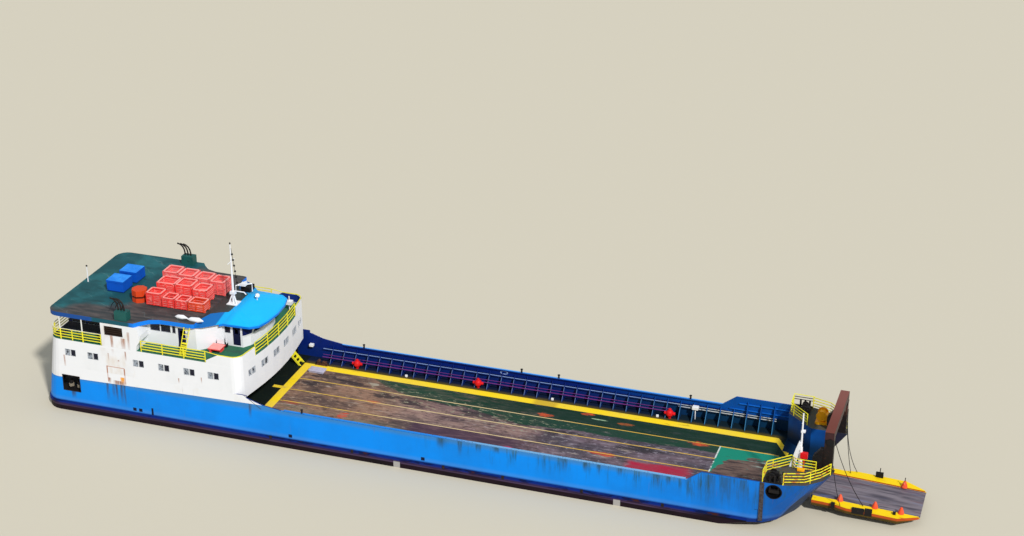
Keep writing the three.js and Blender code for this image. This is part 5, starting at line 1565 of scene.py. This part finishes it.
# The stay of the main mast and the lamp at its head
DARK_TUBES = [
    ([(-4.92, -0.2, 13.5), (-4.5, -0.2, 9.6)], 0.018, 6),
    ([(-5.0, -0.2, 13.9), (-5.0, -0.2, 14.05)], [0.08, 0.05], 10),
]
# A chest beside the lamp box, and one below the board
DARK_BOXES = [([-5.5, -4.6], [2.3, 3.3], [8.06, 8.5]), ([-4.85, -4.15], [-3.75, -3.4], [5.36, 5.7])]
# The lamp of the stern light's mast
DARK_BALLS = [((-19.9, -0.3, 9.66), 0.09)]
STAY_LAMPS = 6
EXHAUST_ARCHES_X = (-13.2, -12.75)

white_bits = gather(WHITE_TUBES, WHITE_BOXES, WHITE_BALLS)
dark_bits = gather(DARK_TUBES, DARK_BOXES, DARK_BALLS)
for k in range(STAY_LAMPS):
    part = (k + 0.7) / 6.2
    dark_bits.ball((-4.9 + 0.4 * part, -0.2, 13.3 - 3.4 * part), 0.1)
for foot in EXHAUST_ARCHES_X:
    arch = [(foot - 0.6 + 0.35 * math.cos(t), -6.1 + 0.3 * math.sin(t), 8.9 + 0.5 * math.sin(t))
            for t in angles(16)[:9]]
    dark_bits.tube(arch, 0.035, 6)
white_bits.piece("roof_fittings_white", plain_white, slot="white_paint", smooth=50)
dark_bits.piece("roof_fittings_dark", iron, slot="black_iron", smooth=50)
print("roof fittings:", len(white_bits.faces) + len(dark_bits.faces), "faces")

# %% [markdown]
# The roof's ladder needs rungs, which lean with it. The locker lids have crossed seams. Those ride on the
# lids, so they tip with them.

# %% Ladder rungs and lid seams
RUNGS = 6
LADDER = {"foot": (-7.48, -6.35, 5.4), "run": (0.2, 0.83, 2.35), "wide": 0.56}
SEAM = {"half": 0.03, "below": 0.003, "above": 0.004}

rungs = Form()
for k in range(RUNGS):
    part = (k + 0.4) / 13
    x, y, z = (start + run * part for start, run in zip(LADDER["foot"], LADDER["run"]))
    rungs.tube([(x, y - 0.03, z), (x + LADDER["wide"], y - 0.03, z)], 0.05, 6)
rungs.piece("ladder_rungs", rail_yellow, slot="rail_paint")
for name in both("locker_lid"):
    low, high = full(name)
    middle = (low + high) / 2
    half = SEAM["half"]
    level = [high.z - SEAM["below"], high.z + SEAM["above"]]
    seams = Form()
    seams.box([low.x + 0.1, high.x - 0.1], [middle.y - half, middle.y + half], level)
    seams.box([middle.x - half, middle.x + half], [low.y + 0.2, high.y - 0.3], level)
    seams.piece(f"{name}_seams", locker_blue, body=name, slot="locker_paint")
print("rungs:", RUNGS)

# %% [markdown]
# The bow's gear is small, dark and rusty. A red box and an orange chest stand on the starboard platform,
# lamps hang on the bow's mast over a broad foot, and large sheaves stand by the portal's legs.

# %% Bow gear
PORT_RAIL_GAP = {"x": (45.15, 46.95), "y": 6.76, "z": (3.32, 3.55, 3.78)}
# The bow mast's foot, as its aft and forward x at each height
MAST_FOOT = [(46.75, 47.1, 2.67), (47.2, 47.5, 4.4), (47.4, 47.6, 5.0)]
# Spans of x, y and z of the lamp boxes on the mast
MAST_LAMPS = [
    ([47.35, 47.6], [-3.75, -3.45], [4.35, 4.75]),
    ([47.5, 47.85], [-3.6, -3.3], [5.9, 6.05]),
]
# x, z, radius, half thickness and sides of the sheaves beside the portal
PORTAL_SHEAVES = [(49.0, 3.8, 0.4, 0.3, 20), (49.95, 5.5, 0.32, 0.36, 18)]

gap = PORT_RAIL_GAP
rail_gap = gather([([(x, gap["y"], z) for x in gap["x"]], 0.035, 6) for z in gap["z"]])
rail_gap.piece("port_rail_link", rail_yellow, slot="rail_paint")
red_gear = gather([([(47.9, -3.62, 2.6), (47.9, -3.62, 3.62)], 0.06)],
                  [([47.6, 48.2], [-3.8, -3.45], [3.6, 4.1])])
red_gear.piece("bow_red_box", hydrant_red, slot="float_red", bevel=0.03)
bow_white = gather([([(47.6, -3.9, 6.9), (47.6, -3.15, 6.9)], 0.03)], MAST_LAMPS)
bow_white.skin([[(aft, -3.76, z), (aft, -3.28, z), (fore, -3.28, z), (fore, -3.76, z)]
                for aft, fore, z in MAST_FOOT])
bow_white.piece("bow_mast_fittings", plain_white, slot="white_paint")
chest = gather(boxes=[([47.5, 48.1], [-4.35, -4.05], [2.68, 2.9])])
chest.piece("platform_chest", winch_orange, slot="winch_paint", bevel=0.03)
sheaves = Form()
for side in (-1, 1):
    for x, z, radius, half, sides in PORTAL_SHEAVES:
        sheaves.disc((x, side * 3.5, z), (0, 1, 0), radius, half, sides)
    for x in (46.2, 46.6):
        sheaves.disc((x, side * 5.6, 3.0), (1, 0, 0), 0.14, 0.05)
sheaves.piece("sheaves", iron, slot="black_iron")
print("bow gear:", len(sheaves.faces), "faces in the sheaves")

# %% [markdown]
# Cleats and lugs sit on the ramp and ride with it. The hoist wires run from the portal down to the ramp with
# a slight sag, and are fixed in place, riding on neither body.

# %% Ramp fittings and hoist wires
# Place along the ramp and across it of each cleat, and how its radius shrinks with its height
CLEATS = [(2.45, -2.05), (5.35, -2.1), (7.5, -2.15), (7.2, 2.15)]
CLEAT_SHAPE = {"lift": (0.1, 0.34, 0.68), "radius": [0.28, 0.22, 0.08]}
# Place along and across, half length and height of each lug
LUGS = [
    (5.0, 2.9, 0.32, 0.45),
    (4.1, -3.02, 0.5, 0.16),
    (4.95, -3.02, 0.3, 0.28),
    (2.0, -2.95, 0.16, 0.18),
    (7.0, -2.5, 0.12, 0.2),
]
# Place along and across and radius of each upright pin
PINS = [(5.0, 2.9, 0.04), (7.2, 2.15, 0.035)]
# Top at the portal, foot on the ramp and sag of each wire
WIRES = [
    ((50.3, 3.45, 4.9), on_ramp(3.1, 2.95, 0.14), 0.5),
    ((50.3, -3.45, 5.5), on_ramp(4.4, -2.25, 0.14), 0.25),
    ((50.3, -3.45, 3.2), on_ramp(2.6, -2.95, 0.14), 0.1),
    ((50.3, 3.45, 3.6), on_ramp(2.6, 2.6, 0.14), 0.1),
]
WIRE = {"radius": 0.03, "steps": 16}

cleats = Form()
for along, y in CLEATS:
    cleats.tube([on_ramp(along, y, lift) for lift in CLEAT_SHAPE["lift"]], CLEAT_SHAPE["radius"], 12)
lugs = Form()
for along, y, half, height in LUGS:
    x, z = on_ramp(along, y, 0.12)[::2]
    lugs.box([x - half, x + half], [y - 0.12, y + 0.12], [z - 0.3, z + height])
for along, y, radius in PINS:
    lugs.tube([on_ramp(along, y, 0.1), on_ramp(along, y, 1.0)], radius)
cleat_orange = chipped_finish("cleat_orange", "e2502c", "d8a088", size=0.25, low=0.6)
cleats.piece("ramp_cleats", cleat_orange, body="bow_ramp", slot="float_red")
lugs.piece("ramp_lugs", iron, body="bow_ramp", slot="black_iron")
for number, (top, foot, sag) in enumerate(WIRES, 1):
    path = []
    for k in range(WIRE["steps"] + 1):
        t = k / WIRE["steps"]
        path.append(Vector(top).lerp(Vector(foot), t) - Vector((sag * 0.6, 0, sag)) * (4 * t * (1 - t)))
    wire = gather([(path, WIRE["radius"], 6)])
    made = wire.piece(f"hoist_wire_{number}", iron, body=None, slot="black_iron")
    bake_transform(made)
print("hoist wires:", len(WIRES))

# %% [markdown]
# Last, the size of the dressed ship is printed.

# %% Size
low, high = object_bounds()
print("visual size:", [round(v, 3) for v in high - low])
